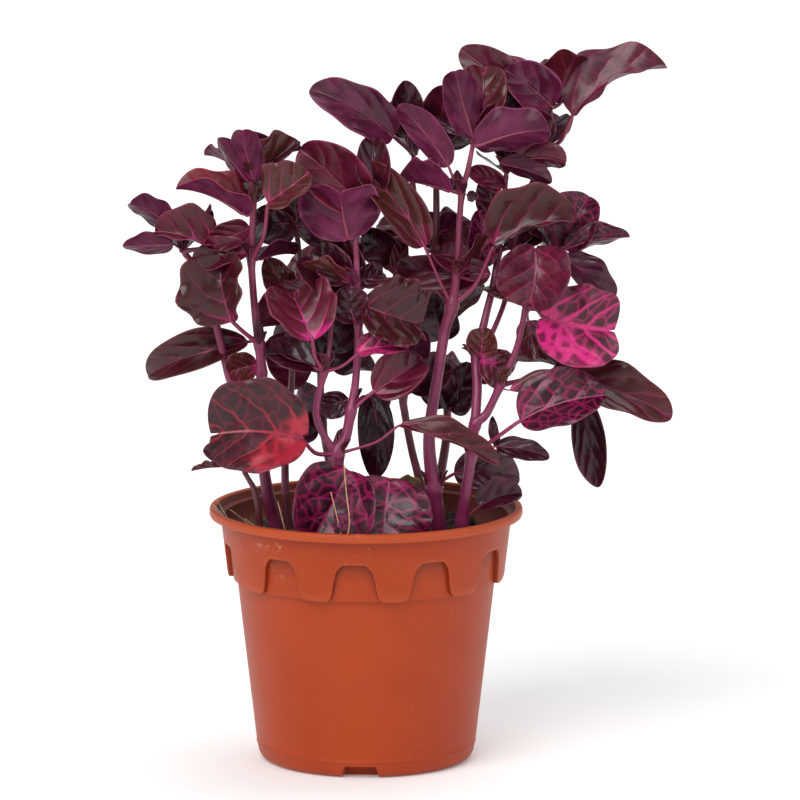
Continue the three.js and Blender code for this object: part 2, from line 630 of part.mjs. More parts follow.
// ---------------------------------------------------------------- pot and soil
function lathe(profile, sides) {
  const geometry = new THREE.LatheGeometry(profile.map(([r, z]) => new THREE.Vector2(r, z)), sides);
  geometry.rotateX(Math.PI / 2); // the lathe turns about Y: stand it up
  const made = solid(geometry);
  return made.volume() < 0 ? solid(flipped(geometry)) : made;
}

function flipped(geometry) {
  const index = geometry.index.array;
  for (let i = 0; i < index.length; i += 3) [index[i + 1], index[i + 2]] = [index[i + 2], index[i + 1]];
  return geometry;
}

// An outline of [across, up] points pushed out of the axis, facing an angle from the front.
function radialPrism(outline, from, to, degrees) {
  const shape = new THREE.Shape(outline.map(([x, z]) => new THREE.Vector2(x, z)));
  const prism = new THREE.ExtrudeGeometry(shape, { depth: to - from, bevelEnabled: false });
  prism.rotateX(Math.PI / 2); // the outline stands upright and the push runs to -Y
  prism.translate(0, -from, 0);
  prism.rotateZ(radians(degrees));
  return solid(prism);
}

function makePot() {
  const lipFoot = POT.height - POT.lipHeight;
  const outer = [
    [POT.ringInner, 0],
    [POT.footRadius, 0],
    [POT.footRadius + 2.4, 1.2],
    [POT.bodyFoot - 0.3, 4],
    [POT.bodyFoot, 9],
    [POT.bodyTop, POT.collarFoot - 0.6],
    [POT.collarBottom, POT.collarFoot],
    [POT.collarTop, lipFoot - 0.6],
    [POT.rimRadius - 0.6, lipFoot],
    [POT.rimRadius, lipFoot + 0.8],
    [POT.rimRadius, POT.height - 0.9],
    [POT.rimRadius - 0.9, POT.height],
    [POT.rimRadius - 2.6, POT.height],
  ];
  const inner = [
    [POT.collarTop - POT.wall - 0.4, lipFoot + 0.5],
    [POT.collarTop - POT.wall - 1, WINDOW.top + 2],
    [POT.panelRadius - POT.wall, WINDOW.top],
    [POT.bodyTop - POT.wall, POT.collarFoot],
    [POT.bodyFoot - POT.wall, 9],
    [POT.seat, POT.floorTop + GAP],
    [POT.seat, POT.seatHeight],
    [POT.ringInner, POT.seatHeight],
    [POT.ringInner, 0],
  ];
  let pot = lathe([...outer, ...inner], POT.sides);
  // the collar's windows: what is outside the recessed panel, between the tabs
  const ring = lathe(
    [
      [POT.panelRadius - 0.3, POT.collarFoot - 0.1],
      [POT.rimRadius + 5, POT.collarFoot - 0.1],
      [POT.rimRadius + 5, WINDOW.top + 1],
      [POT.panelRadius + 1.1, WINDOW.top + 1],
      [POT.panelRadius - 0.3, POT.collarFoot - 0.1],
    ],
    POT.sides,
  );
  const halfFoot = POT.collarBottom * Math.tan(radians(WINDOW.halfWidthFoot));
  const halfTop = POT.collarTop * Math.tan(radians(WINDOW.halfWidthTop));
  const windowOutline = [
    [-halfFoot, POT.collarFoot - 1],
    [halfFoot, POT.collarFoot - 1],
    [halfFoot - 0.8, WINDOW.top - 6],
    [halfTop + 1.6, WINDOW.top - 1.6],
    [halfTop - 0.8, WINDOW.top],
    [-halfTop + 0.8, WINDOW.top],
    [-halfTop - 1.6, WINDOW.top - 1.6],
    [-halfFoot + 0.8, WINDOW.top - 6],
  ];
  for (const angle of WINDOW.angles) {
    pot = pot.subtract(ring.intersect(radialPrism(windowOutline, 40, POT.rimRadius + 4, angle)));
  }
  const halfNotch = NOTCH.width / 2;
  const notchOutline = [
    [-halfNotch - 0.2, -1],
    [halfNotch + 0.2, -1],
    [halfNotch - NOTCH.slant, NOTCH.height],
    [-halfNotch + NOTCH.slant, NOTCH.height],
  ];
  for (const angle of NOTCH.angles) {
    pot = pot.subtract(radialPrism(notchOutline, POT.ringInner - 4, POT.rimRadius, angle));
  }
  return pot;
}

// The raised floor, a thin disc on the foot ring with a ring of drainage holes.
function makeFloor() {
  const edge = POT.seat - GAP;
  const profile = [
    [0, POT.floorUnder],
    [edge, POT.floorUnder],
    [edge, POT.floorTop],
    [0, POT.floorTop],
  ];
  let floor = lathe(profile, POT.sides);
  for (let i = 0; i < DRAIN.count; i++) {
    const angle = (2 * Math.PI * (i + 0.5)) / DRAIN.count;
    const drill = new THREE.CylinderGeometry(DRAIN.radius, DRAIN.radius, 6, 12);
    drill.rotateX(Math.PI / 2);
    drill.translate(DRAIN.circle * Math.cos(angle), DRAIN.circle * Math.sin(angle), POT.floorTop);
    floor = floor.subtract(solid(drill));
  }
  return floor;
}

function makeSoil(stemsGrown) {
  const outside = (z) => THREE.MathUtils.mapLinear(z, 9, POT.collarFoot, POT.bodyFoot, POT.bodyTop);
  const wallAt = (z) => outside(z) - POT.wall - GAP;
  const profile = [
    [0, SOIL.under],
    [POT.bodyFoot - 3.6, SOIL.under],
    [wallAt(9) - 0.2, 9.6],
    [wallAt(POT.collarFoot) - 0.2, POT.collarFoot],
    [POT.panelRadius - POT.wall - GAP - 0.3, SOIL.level - 1.6],
    [30, SOIL.level - 0.4],
    [0, SOIL.level + SOIL.crown],
  ];
  let soil = lathe(profile, SOIL.sides);
  for (const grown of stemsGrown) soil = soil.subtract(grown);
  return soil;
}

// ---------------------------------------------------------------- assembly
const bloodleaf = new THREE.Group();
const standing = new THREE.Group(); // everything as measured from the pot's axis
bloodleaf.add(standing);
const placed = []; // { name, grown } of every stem and leaf group that stands, so that later ones keep clear

function addPiece(name, body, finish) {
  const { numProp, vertProperties, triVerts } = body.getMesh();
  const position = new Float32Array((vertProperties.length / numProp) * 3);
  for (let i = 0; i * numProp < vertProperties.length; i++) {
    position.set(vertProperties.subarray(i * numProp, i * numProp + 3), i * 3);
  }
  const geometry = new THREE.BufferGeometry();
  geometry.setAttribute("position", new THREE.BufferAttribute(position, 3));
  geometry.setIndex(new THREE.BufferAttribute(new Uint32Array(triVerts), 1));
  const material = new THREE.MeshStandardMaterial({ ...FINISH[finish], flatShading: true });
  const mesh = new THREE.Mesh(geometry, material);
  mesh.name = name;
  standing.add(mesh);
}

const grownStems = {};
for (const [name, stem] of Object.entries(STEMS)) {
  const branches = (margin) => stem.branches.map((branch) => stemSolid(branch, margin));
  const join = (margin) => branches(margin).reduce((a, b) => a.add(b));
  grownStems[name] = join(GAP);
  addPiece(name, join(0), stem.finish);
  placed.push({ name, grown: grownStems[name] });
}

addPiece("pot", makePot(), "pot");
addPiece("pot_floor", makeFloor(), "pot");
addPiece("soil", makeSoil(Object.values(grownStems)), "soil");

// A leaf that presses against an earlier piece is trimmed back from it by the gap.
for (const [name, group] of Object.entries(LEAVES)) {
  let body = leafGroup(group, 0).subtract(grownStems[group.stem]);
  for (const other of placed) {
    if (other.name === group.stem) continue;
    if (body.intersect(other.grown).volume() > 0) body = body.subtract(other.grown);
  }
  addPiece(name, largest(body), group.finish);
  placed.push({ name, grown: leafGroup(group, GAP) });
}

const middle = new THREE.Box3().setFromObject(standing).getCenter(new THREE.Vector3());
standing.position.set(-middle.x, -middle.y, 0);

export default bloodleaf;
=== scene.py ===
"""A potted bloodleaf: a round nursery pot, its soil, ten stems and the leaves that grow from their joints."""

import math

import bpy
import numpy as np
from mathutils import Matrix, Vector


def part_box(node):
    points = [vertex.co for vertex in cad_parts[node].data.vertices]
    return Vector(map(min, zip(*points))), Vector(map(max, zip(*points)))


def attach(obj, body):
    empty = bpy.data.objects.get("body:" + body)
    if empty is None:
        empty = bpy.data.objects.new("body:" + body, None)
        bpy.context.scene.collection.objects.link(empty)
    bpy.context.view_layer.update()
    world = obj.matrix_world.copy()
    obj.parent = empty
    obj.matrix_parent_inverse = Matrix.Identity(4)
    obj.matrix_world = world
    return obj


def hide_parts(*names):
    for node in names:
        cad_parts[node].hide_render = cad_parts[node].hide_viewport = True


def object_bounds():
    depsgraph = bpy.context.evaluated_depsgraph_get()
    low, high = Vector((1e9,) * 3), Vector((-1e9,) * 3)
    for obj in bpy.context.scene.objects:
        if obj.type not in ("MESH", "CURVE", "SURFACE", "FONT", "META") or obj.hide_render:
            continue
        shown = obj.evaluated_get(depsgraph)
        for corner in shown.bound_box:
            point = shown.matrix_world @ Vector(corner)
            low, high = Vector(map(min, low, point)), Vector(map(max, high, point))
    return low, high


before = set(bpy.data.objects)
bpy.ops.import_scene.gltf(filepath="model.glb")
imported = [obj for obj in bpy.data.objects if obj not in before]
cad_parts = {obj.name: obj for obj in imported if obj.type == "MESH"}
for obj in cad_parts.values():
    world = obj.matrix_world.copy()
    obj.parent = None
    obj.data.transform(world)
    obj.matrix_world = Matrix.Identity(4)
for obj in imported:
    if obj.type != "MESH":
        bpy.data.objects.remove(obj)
CAD_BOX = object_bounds()

bl_info = {
    "name": "Potted Bloodleaf",
    "version": (1, 0, 0),
    "blender": (4, 5, 0),
    "location": "3D View > Sidebar > Bloodleaf",
    "description": "Builds a bloodleaf plant in its pot around the packed frame",
    "category": "Add Mesh",
}

MM = 0.001
SEED = 7
POT_LOW, POT_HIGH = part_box("pot")
AXIS = Vector(((POT_LOW.x + POT_HIGH.x) / 2, (POT_LOW.y + POT_HIGH.y) / 2, 0))


def srgb(red, green, blue):
    """A linear colour with alpha from 0 to 255 display values."""

    def linear(value):
        value /= 255
        return value / 12.92 if value <= 0.04045 else ((value + 0.055) / 1.055) ** 2.4

    return (linear(red), linear(green), linear(blue), 1.0)


def blade(foot, tip, width, face, look, fold=12, round=False, via=None, bow=0.04, **shape):
    """One leaf: the foot, tip and width of its blade in mm, and where its upper side faces."""
    return dict(
        foot=foot, tip=tip, width=width, face=face, look=look, fold=fold, round=round,
        via=via, bow=bow, **shape,
    )


# ------------------------------------------------------------ the plant's layout, mm from the pot's axis
# Stems: (x, y, z, radius) along each branch.
STEMS = {
    "stem_left": [
        [(-33, -12, 76, 2.6), (-34.4, -12, 92, 2.6), (-37.5, -13, 106, 2.4),
         (-39, -14, 118, 2.1), (-39, -15, 134, 2), (-39.5, -15, 152, 1.9),
         (-40.3, -15, 163, 1.9), (-42, -15, 176, 1.5), (-43.3, -14, 195, 1.4),
         (-42.8, -13.5, 208, 1.3), (-42.6, -13, 216, 1.2), (-43.3, -12.5, 226, 0.9)],
        [(-39, -14, 118, 2), (-41.5, -11, 128, 1.9), (-47, -8, 140, 1.9), (-51.3, -6, 147, 1.8),
         (-53.5, -5, 155, 1.7), (-56, -5, 165, 1.6), (-58.5, -5, 175, 1.5),
         (-61.8, -5, 186, 1.4), (-66, -5, 193, 1.2), (-69.5, -5, 197, 1)],
    ],
    "stem_left_back": [
        [(-28, 8, 76, 1.6), (-30.5, 9, 95, 1.6), (-31.2, 10, 110, 1.5), (-30.5, 10, 124, 1.4),
         (-29, 10, 138, 1.3), (-27.9, 10, 157, 1.2), (-26, 10, 178, 1.2), (-25.3, 10, 190, 1.1),
         (-26.5, 10, 203, 1)],
    ],
    "stem_front": [
        [(-7, -22, 76, 2.8), (-8, -24, 92, 2.7), (-9.2, -24.5, 105, 2.6),
         (-11, -25, 122.5, 2.6), (-7.8, -24, 128, 2.1), (-5.6, -22, 138.5, 1.9),
         (-3.7, -20, 151, 1.5), (-2.7, -18, 171, 1.4), (-3.3, -17, 186, 1.4),
         (-3.5, -16, 197, 1.2), (-4.2, -15, 206, 1)],
        [(-11, -25, 122.5, 2), (-15.5, -25, 129, 1.5), (-18.6, -25, 137.5, 1.5),
         (-17.3, -25, 147, 1.3), (-15.5, -24, 154, 1.3), (-13.8, -22, 162, 0.9),
         (-13, -20, 172, 0.9), (-13.5, -18, 178, 0.8)],
    ],
    "stem_middle": [
        [(24, 10, 76, 1.8), (22.5, 12, 96, 1.7), (19.8, 14, 108, 1.6), (17.5, 15, 117, 1.5),
         (14.9, 15, 131, 1.5), (14.3, 15, 139, 1.6), (16.9, 16, 156, 1.4), (21.4, 17, 171, 1.4),
         (24.5, 17, 181, 1.4), (26.6, 16, 196, 1.4), (26.9, 15, 214, 1.3), (26.5, 15, 232, 1)],
    ],
    "stem_back": [
        [(-2, 22, 76, 1.3), (1.5, 24, 95, 1.2), (4, 25, 112, 1.2), (6, 25, 125, 1.1),
         (8.6, 25, 136, 1.1), (10.2, 25, 156, 1), (11.5, 24, 184, 1), (14.5, 22, 197, 1),
         (18.5, 20, 211, 1.1), (17.8, 18, 221, 1.2), (18.3, 17, 231, 0.9)],
    ],
    "stem_main": [
        [(29.5, -8, 76, 3.2), (28, -9, 92, 3.1), (26, -10, 106, 2.9), (24.2, -10, 121, 2.5),
         (24.6, -10, 132.5, 2.3), (27, -10, 148, 2.2), (30, -10, 167, 2.1),
         (32.8, -10, 177, 2.3), (34.7, -10, 192, 1.2), (35.5, -10, 208, 1.2),
         (36.4, -10, 220, 1.2), (38.8, -10, 229.5, 1.1), (41, -9, 241, 0.8)],
    ],
    "stem_right": [
        [(35.5, -16, 76, 2.3), (36.5, -18, 95, 2.3), (38, -20, 106, 2.1), (40, -20, 121, 1.9),
         (41.5, -20, 133, 2), (45.7, -20, 137, 1.6), (51, -20, 148, 1.5), (56.8, -19, 161, 1.3),
         (59.3, -18, 171, 1.2), (61, -17, 177.5, 1.3), (66, -8, 187, 1.1), (72, -5, 196, 0.9)],
        [(41.5, -20, 133, 1.9), (42.3, -15, 146, 1.9), (42.2, -10, 157, 1.9),
         (45.5, -6, 172, 1.5), (48.3, -2, 183, 1.4), (50.5, 2, 196, 1.3), (52, 4, 210, 1.3),
         (53.5, 5, 226, 0.9)],
        [(42.2, -10, 157, 1.4), (46.4, -8, 163, 1.1), (51, -2, 172, 1), (54, 2, 181, 1.1),
         (56.3, 5, 196, 1.2), (59.8, 6, 212, 1.4), (64.4, 6, 224, 1.4), (67.3, 6, 235, 1.4),
         (69.7, 6, 244, 1), (70.3, 6, 251, 0.8)],
    ],
    "stem_small": [
        [(-39.5, -24, 76, 1.2), (-40.5, -25, 98, 1.2), (-42, -25, 108, 1.2),
         (-44.5, -25, 113, 1), (-46.5, -25, 116.5, 0.8)],
    ],
    "stem_rear_left": [
        [(-12, 25, 76, 1.8), (-13, 28, 100, 1.7), (-17, 30, 125, 1.5), (-17.5, 30, 146, 1.4),
         (-15, 30, 160, 1.2), (-15, 30, 173, 1)],
    ],
    "stem_rear_right": [
        [(25, 25, 76, 2), (28, 28, 100, 1.9), (31, 30, 120, 1.7), (31, 30, 138, 1.5),
         (29, 30, 151, 1.3), (29, 30, 161, 1)],
    ],
}

LEAVES = {
    "leaves_far_left_tip": ("stem_left", (-69.5, -5, 197), 2, "plum", [
        blade((-74, -6, 206), (-88, -8, 217), 10.5, (0, 1, 0.3), "dark"),
        blade((-74, -9, 200.5), (-91, -10, 201), 10, (0, 1, 0.5), "dark"),
        blade((-60.5, -9, 200.5), (-76, -9, 206), 15, (0, -1, 1.2), "blush", fold=35, via=(-66, -7, 198)),
        blade((-66, -4, 206), (-60, -4, 213.5), 4, (1, 0, 0.5), "dark"),
        blade((-64, -5, 205), (-58.5, -5.5, 210.5), 4.5, (1, -0.5, 0.5), "dark"),
    ]),
    "leaves_left_tip": ("stem_left", (-43.3, -12.5, 226), 1.7, "plum", [
        blade((-42.5, -15, 227), (-46, -16, 244.5), 11, (0, 1, 0.2), "dark", fold=15),
        blade((-46, -13, 227), (-54, -13, 239), 7, (0.6, 1, 0), "dark", fold=25),
        blade((-41, -9, 227), (-41, -6, 240), 15, (0, 1, 0.3), "dark"),
        blade((-38, -7, 229), (-27, -4, 237), 6, (0, -0.5, 1), "dark"),
    ]),
    "leaves_left_high": ("stem_left", (-42.6, -13, 216), 2.2, "wine", [
        blade((-46, -14, 213), (-67.5, -16, 226), 22, (0.2, -0.2, 1), "crimson", fold=48),
    ]),
    "leaves_left_middle": ("stem_left", (-43.3, -14, 195), 2.4, "wine", [
        blade((-36, -20, 218.5), (-22, -21, 229), 21, (-0.3, -1, 0.6), "olive", fold=28,
              via=(-38.5, -18, 205)),
        blade((-47, -15, 198), (-63, -12, 195.5), 10, (0, -1, 0.8), "wine"),
        blade((-46, -11, 206), (-58, -12, 201.5), 8, (0, -1, 0.3), "wine"),
    ]),
    "leaves_left_low": ("stem_left", (-40.3, -15, 163), 3, "veined", [
        blade((-51, -20, 174), (-56, -19, 195), 30, (-0.6, -1, 0.1), "bronze", fold=25, round=True,
              via=(-46, -18, 168)),
        blade((-47, 0, 161), (-83, 4, 150.5), 15, (0, -1, 0.5), "bronze", bow=0.14),
    ]),
    "leaf_left_cup": ("stem_left", (-39.5, -15, 152), 0, "olive", [
        blade((-43, -12, 154), (-50.5, -12, 152), 10, (0, -1, 0.2), "olive", fold=25, round=True),
    ]),
    "leaves_left_back_tip": ("stem_left_back", (-26.5, 10, 203), 2, "dark", [
        blade((-29, 10, 206), (-41, 9, 206), 12, (0, -1, 0.2), "dark"),
        blade((-24, 10, 205), (-10, 12, 207), 12, (0, -1, 0.1), "dark"),
        blade((-26.5, 12, 207), (-28, 18, 217), 12, (0, -1, 0.3), "dark"),
    ]),
    "leaves_left_back": ("stem_left_back", (-26, 10, 178), 2.3, "dark", [
        blade((-30, 7, 180), (-37, 5, 191), 9, (0, -1, 0.5), "olive"),
        blade((-29, 6, 175), (-40, 2, 170), 10, (0, 1, 0.3), "dark"),
    ]),
    "leaves_front_left": ("stem_front", (-15.5, -24, 154), 2.4, "pink", [
        blade((-20.5, -28, 168), (-27, -17, 183.5), 25, (0.1, -1, 1), "blush", round=True,
              via=(-19, -27, 160)),
        blade((-2, -27, 161.5), (15, -26, 164), 13, (0, -0.8, 1), "pink", fold=25, via=(-9, -27, 156.5)),
    ]),
    "leaf_front_left_top": ("stem_front", (-13.5, -18, 178), 1.7, "dark", [
        blade((-14, -14, 182), (-20, -10, 194), 15, (0.3, -1, 0.2), "dark", round=True),
    ]),
    "leaves_front_middle": ("stem_front", (-2.7, -18, 171), 2.5, "dark", [
        blade((-4.5, -21.5, 175), (-6, -22, 184), 10, (0, -1, 0.2), "dark", round=True),
        blade((1.5, -21, 178), (20, -20, 172), 28, (-0.1, -1, 0.5), "bronze", fold=20, round=True),
        blade((5, -17, 171), (20, -16, 166.5), 6, (0, 0.6, 1), "wine"),
    ]),
    "leaves_front_high": ("stem_front", (-3.3, -17, 186), 2.4, "dark", [
        blade((-5, -13, 189), (-13.5, -10, 200), 13, (0, -1, 0), "dark", round=True),
        blade((-1, -14, 187), (5.5, -12, 190), 7, (0, -1, 0.3), "dark"),
    ]),
    "leaves_front_tip": ("stem_front", (-4.2, -15, 206), 2, "wine", [
        blade((-7, -18, 206.5), (-9, -20, 221), 24, (0, 1, 0.3), "olive", fold=20, round=True),
        blade((-4, -12, 217), (-23, -13, 236), 20, (0.2, -1, 0.1), "wine", bow=0.05),
        blade((3, -11, 222), (3, -11, 240), 12, (0, -1, -0.1), "dark"),
    ]),
    "leaves_front_low": ("stem_front", (-5.6, -22, 138.5), 3, "wine", [
        blade((4, -24, 147), (21, -18, 158), 17, (0, -1, 0.4), "wine", via=(0, -24, 144)),
        blade((-8, -19, 142), (-16.5, -17, 139), 8, (0, -1, 0), "dark"),
    ]),
    "leaves_front_fork": ("stem_front", (-11, -25, 122.5), 4, "coral", [
        blade((-26, -36, 131), (-56, -38, 133.5), 36, (0, -1, 0.55), "coral", fold=18, round=True,
              via=(-19, -31, 124)),
        blade((14.5, -31, 134), (49, -33, 124), 13, (0, -0.5, 1), "bronze", fold=25, via=(4, -30, 128)),
    ]),
    "leaves_pot_front": ("stem_front", (-9.2, -24.5, 105), 3.8, "veined", [
        blade((9, -34, 112), (7, -46, 91), 34, (0, -1, 0.4), "veined", round=True),
        blade((-7, -34, 116), (-20, -43, 93), 30, (0.2, -1, 0.4), "veined", via=(-9, -30, 109), round=True),
    ]),
    "leaves_small_shoot": ("stem_small", (-46.5, -25, 116.5), 1.7, "dark", [
        blade((-49.5, -26, 121), (-59, -27, 124.5), 7, (0, -1, 0.5), "dark"),
        blade((-55, -27, 118), (-64, -29, 117), 5, (0, 0.3, 1), "wine"),
        blade((-46, -22, 119), (-41, -20, 119.5), 5, (0, -1, 0.3), "dark"),
    ]),
    "leaves_middle_low": ("stem_middle", (14.3, 15, 139), 2.7, "dark", [
        blade((16.5, 8, 151), (21, 6, 162), 10, (0, -1, 0.2), "plum"),
        blade((15, 24, 143), (18, 40, 148), 10, (0, -0.4, 1), "dark"),
        blade((19, 16, 141), (29, 20, 149), 11, (0, -1, 0.3), "dark"),
    ]),
    "leaves_middle_high": ("stem_middle", (26.6, 16, 196), 2.4, "plum", [
        blade((27, 20, 196), (28, 21, 206), 12, (0, 1, 0.2), "dark", round=True),
        blade((31, 22, 196), (40, 38, 203), 18, (0, -0.4, 1), "dark"),
    ]),
    "leaves_middle_tip": ("stem_middle", (26.5, 15, 232), 1.8, "wine", [
        blade((26, 14, 241), (29, 13, 255), 13, (0, -1, 0), "wine"),
        blade((23, 14, 236), (20, 13, 244), 5, (0, -1, 0), "olive"),
        blade((29, 15, 235), (31, 15, 243), 5, (0, -1, 0), "olive"),
        blade((27, 22, 237), (26, 38, 246), 18, (0, -0.4, 1), "dark"),
    ]),
    "leaves_back_tip": ("stem_back", (18.3, 17, 231), 1.7, "plum", [
        blade((16, 8, 240), (15, 5, 260), 13, (0, -1, 0.1), "dark"),
        blade((9, 3, 241), (-15.5, -4, 259), 17, (0, -1, 0.5), "plum"),
        blade((14, 22, 238), (6, 36, 248), 17, (0, -0.4, 1), "dark"),
    ]),
    "leaves_back_middle": ("stem_back", (11.5, 24, 184), 1.9, "dark", [
        blade((11.5, 20, 188), (13, 18, 198), 5, (0, -1, 0), "olive"),
        blade((9, 20, 192), (1, 16, 200), 10, (0, -1, 0), "dark"),
        blade((9, 30, 187), (0, 44, 196), 19, (0, -0.4, 1), "dark"),
    ]),
    "leaf_back_hanging": ("stem_back", (8.6, 25, 136), 0, "dark", [
        blade((2, 20, 137), (3, 14, 108), 13, (0, -1, -0.3), "dark"),
    ]),
    "leaves_main_left": ("stem_main", (32.8, -10, 177), 3.6, "olive", [
        blade((21, -13, 202), (-1, -15, 230), 15, (0.2, -1, 0.1), "olive", via=(28, -13, 187)),
        blade((50, -12, 201), (76.5, -14, 212), 24, (-0.1, -0.8, 1), "bronze", fold=30, via=(42, -12, 186)),
    ]),
    "leaves_main_right": ("stem_main", (34.3, -10, 188.5), 2.6, "wine", [
        blade((45.5, -4, 188.5), (13, 1, 191), 14, (0, -1, 0.2), "wine", via=(42, -6, 186)),
        blade((43, -1, 192), (43, -1, 211), 13, (0.2, -1, 0), "veined"),
    ]),
    "leaves_main_high": ("stem_main", (36.4, -10, 220), 2.3, "plum", [
        blade((30.5, -10, 231.5), (14, -9, 253), 12, (0, 1, 0.2), "dark", via=(33.5, -10, 225)),
        blade((39, -10.5, 219.5), (41.5, -10.5, 219), 3, (0, -1, 0), "dark"),
    ]),
    "leaves_main_tip": ("stem_main", (41, -9, 241), 1.7, "plum", [
        blade((40.5, -12, 243), (34.4, -12, 266), 14, (0, 1, 0.1), "dark"),
        blade((43, -6, 250), (44, -5, 264), 14, (0, -1, 0.2), "bronze", round=True),
        blade((45, -9, 248), (52, -9, 253), 5, (0, -1, 0.3), "wine"),
        blade((43, -14, 239), (67.5, -16, 247), 17, (0, 1, 0.4), "dark"),
    ]),
    "leaves_right_node": ("stem_right", (61, -17, 177.5), 2.5, "pink", [
        blade((68.5, -22, 174), (92, -25, 171), 30, (0.1, -1, 0.3), "pink", round=True, via=(65, -20, 177)),
        blade((62, -14, 170), (64, -13, 160), 8, (0, 1, 0), "dark"),
    ]),
    "leaf_right_round": ("stem_right", (66, -8, 187), 2.2, "veined", [
        blade((64, -20, 199), (62, -27, 181), 26, (0, -1, 0.4), "netted", round=True, via=(66, -13, 197)),
    ]),
    "leaves_right_tip": ("stem_right", (72, -5, 196), 1.8, "plum", [
        blade((76, -6, 194), (94, -8, 181), 13, (0, -1, 0.8), "plum"),
        blade((77, -9, 199), (98.5, -11, 204.5), 10, (0, 1, 0.6), "dark"),
        blade((77, -4, 201), (83, -3, 215), 15, (-0.2, -1, 0.1), "veined"),
        blade((73, 2, 199), (80, 20, 206), 18, (0, -0.4, 1), "dark"),
    ]),
    "leaves_right_low": ("stem_right", (40, -20, 121), 3.2, "veined", [
        blade((60, -26, 136), (89, -28, 145), 24, (0, -1, 0.8), "veined", via=(50, -24, 129)),
        blade((52, -22, 124.5), (66.5, -24, 122), 7, (0, -1, 0.6), "dark"),
        blade((50.5, -20, 125), (48.5, -19, 134), 3, (0, -1, 0), "dark"),
    ]),
    "leaves_right_branch": ("stem_right", (51, -20, 148), 2.7, "plum", [
        blade((72, -14, 150.5), (114, -18, 138.5), 19, (0, -1, 1), "bronze", via=(60, -18, 150)),
        blade((56, -23, 147), (81, -22, 152), 7, (0, 1, 0.3), "dark"),
        blade((82, -9, 141), (88, -10, 109), 12, (0, -1, 0), "dark", via=(68, -12, 149)),
    ]),
    "leaves_right_fork": ("stem_right", (42.2, -10, 157), 3.1, "olive", [
        blade((43.5, -14, 160), (44, -16, 167), 9, (0, -1, 0.3), "olive", round=True),
        blade((46, -14, 157), (53, -13, 151), 11, (0, -1, 0.3), "blush", round=True),
        blade((57, -10, 157), (74, -12, 157.5), 8, (0, 1, 0.5), "dark"),
    ]),
    "leaves_upper_right": ("stem_right", (67.3, 6, 235), 2.5, "veined", [
        blade((80, 3, 249.5), (107, 0, 271), 25, (-0.5, -0.6, 0.8), "netted", fold=30, via=(74, 5, 238)),
        blade((60, 0, 231), (73.5, -3, 232), 9, (0, 1, 0.4), "dark"),
        blade((66, 1, 240), (63, -2, 249), 10, (0, -1, 0.2), "dark", round=True),
    ]),
    "leaves_upper_right_tip": ("stem_right", (70.3, 6, 251), 1.7, "wine", [
        blade((62, 3, 252), (39, 0, 272), 17, (0.1, -1, 0.1), "wine"),
        blade((67, 8, 262), (50, 8, 270), 6, (0, -0.5, 1), "blush"),
        blade((68, 0, 254), (56, -4, 264), 13, (0, -1, 0.2), "plum"),
        blade((75, 7, 255), (79, 6, 269), 14, (0, 1, 0.2), "dark"),
        blade((72, 13, 256), (76, 30, 264), 18, (0, -0.4, 1), "dark"),
    ]),
    "leaves_inner_right_tip": ("stem_right", (53.5, 5, 226), 1.8, "dark", [
        blade((52, 0, 230), (70, -3, 225), 9, (0, 1, 0.5), "dark"),
        blade((50, 2, 221), (41.5, 0, 226), 6, (0, -1, 0.2), "wine"),
        blade((55, 6, 228), (57, 7, 233), 4, (0, -1, 0), "blush"),
        blade((54, 12, 228), (50, 28, 238), 17, (0, -0.4, 1), "dark"),
    ]),
    "leaf_inner_right": ("stem_right", (50.5, 2, 196), 2.3, "wine", [
        blade((49, 6, 206), (45, 6, 220), 9, (0, -1, 0), "wine"),
        blade((54, 8, 198), (64, 24, 204), 18, (0, -0.4, 1), "dark"),
    ]),
    "leaves_pot_right": ("stem_main", (26, -10, 106), 3.9, "dark", [
        blade((35, 2, 110), (58, 4, 110), 16, (0, -1, 0.4), "dark"),
        blade((18, -16, 104), (12, -24, 108), 9, (0, -1, 0.6), "dry"),
    ]),
    "leaf_pot_rim": ("stem_right", (36.5, -18, 95), 0, "dark", [
        blade((45, -15, 101), (57, -12, 104.5), 9, (0, -1, 0.8), "dark"),
    ]),
    "leaves_rear_left_low": ("stem_rear_left", (-17, 30, 125), 2.4, "dark", [
        blade((-20, 25, 124), (-29, 20, 129), 9, (0, -1, 0.1), "dark"),
        blade((-20, 36, 127), (-34, 50, 125), 20, (0, -0.4, 1), "veined"),
    ]),
    "leaves_rear_left_middle": ("stem_rear_left", (-17.5, 30, 146), 2.4, "dark", [
        blade((-22, 26, 147), (-37, 22, 158), 20, (0, -1, 0.2), "wine"),
        blade((-14, 25, 150), (-10, 22, 163), 17, (0, -1, 0.2), "dark"),
        blade((-18, 36, 150), (-20, 54, 157), 20, (0, -0.4, 1), "veined"),
    ]),
    "leaves_rear_left_tip": ("stem_rear_left", (-15, 30, 173), 1.9, "dark", [
        blade((-18, 27, 172), (-29, 22, 168), 13, (0, -1, 0.3), "dark"),
        blade((-13, 35, 176), (-7, 51, 184), 18, (0, -0.4, 1), "bronze"),
        blade((-17, 33, 177), (-26, 41, 190), 17, (0, -1, 0.5), "wine"),
    ]),
    "leaves_rear_right_low": ("stem_rear_right", (31, 30, 138), 2.4, "dark", [
        blade((29, 25, 134), (24, 22, 149), 11, (0, -1, 0), "dark"),
        blade((33, 25, 133), (38, 20, 147), 12, (0, -1, 0.2), "dark"),
        blade((34, 36, 139), (45, 53, 141), 20, (0, -0.4, 1), "netted"),
    ]),
    "leaves_rear_right_tip": ("stem_rear_right", (29, 30, 161), 1.9, "dark", [
        blade((28, 26, 160), (25, 22, 173), 12, (0, -1, 0.2), "dark"),
        blade((32, 36, 164), (40, 52, 174), 19, (0, -0.4, 1), "bronze"),
        blade((26, 36, 165), (14, 48, 172), 17, (0, -0.4, 1), "veined"),
    ]),
}

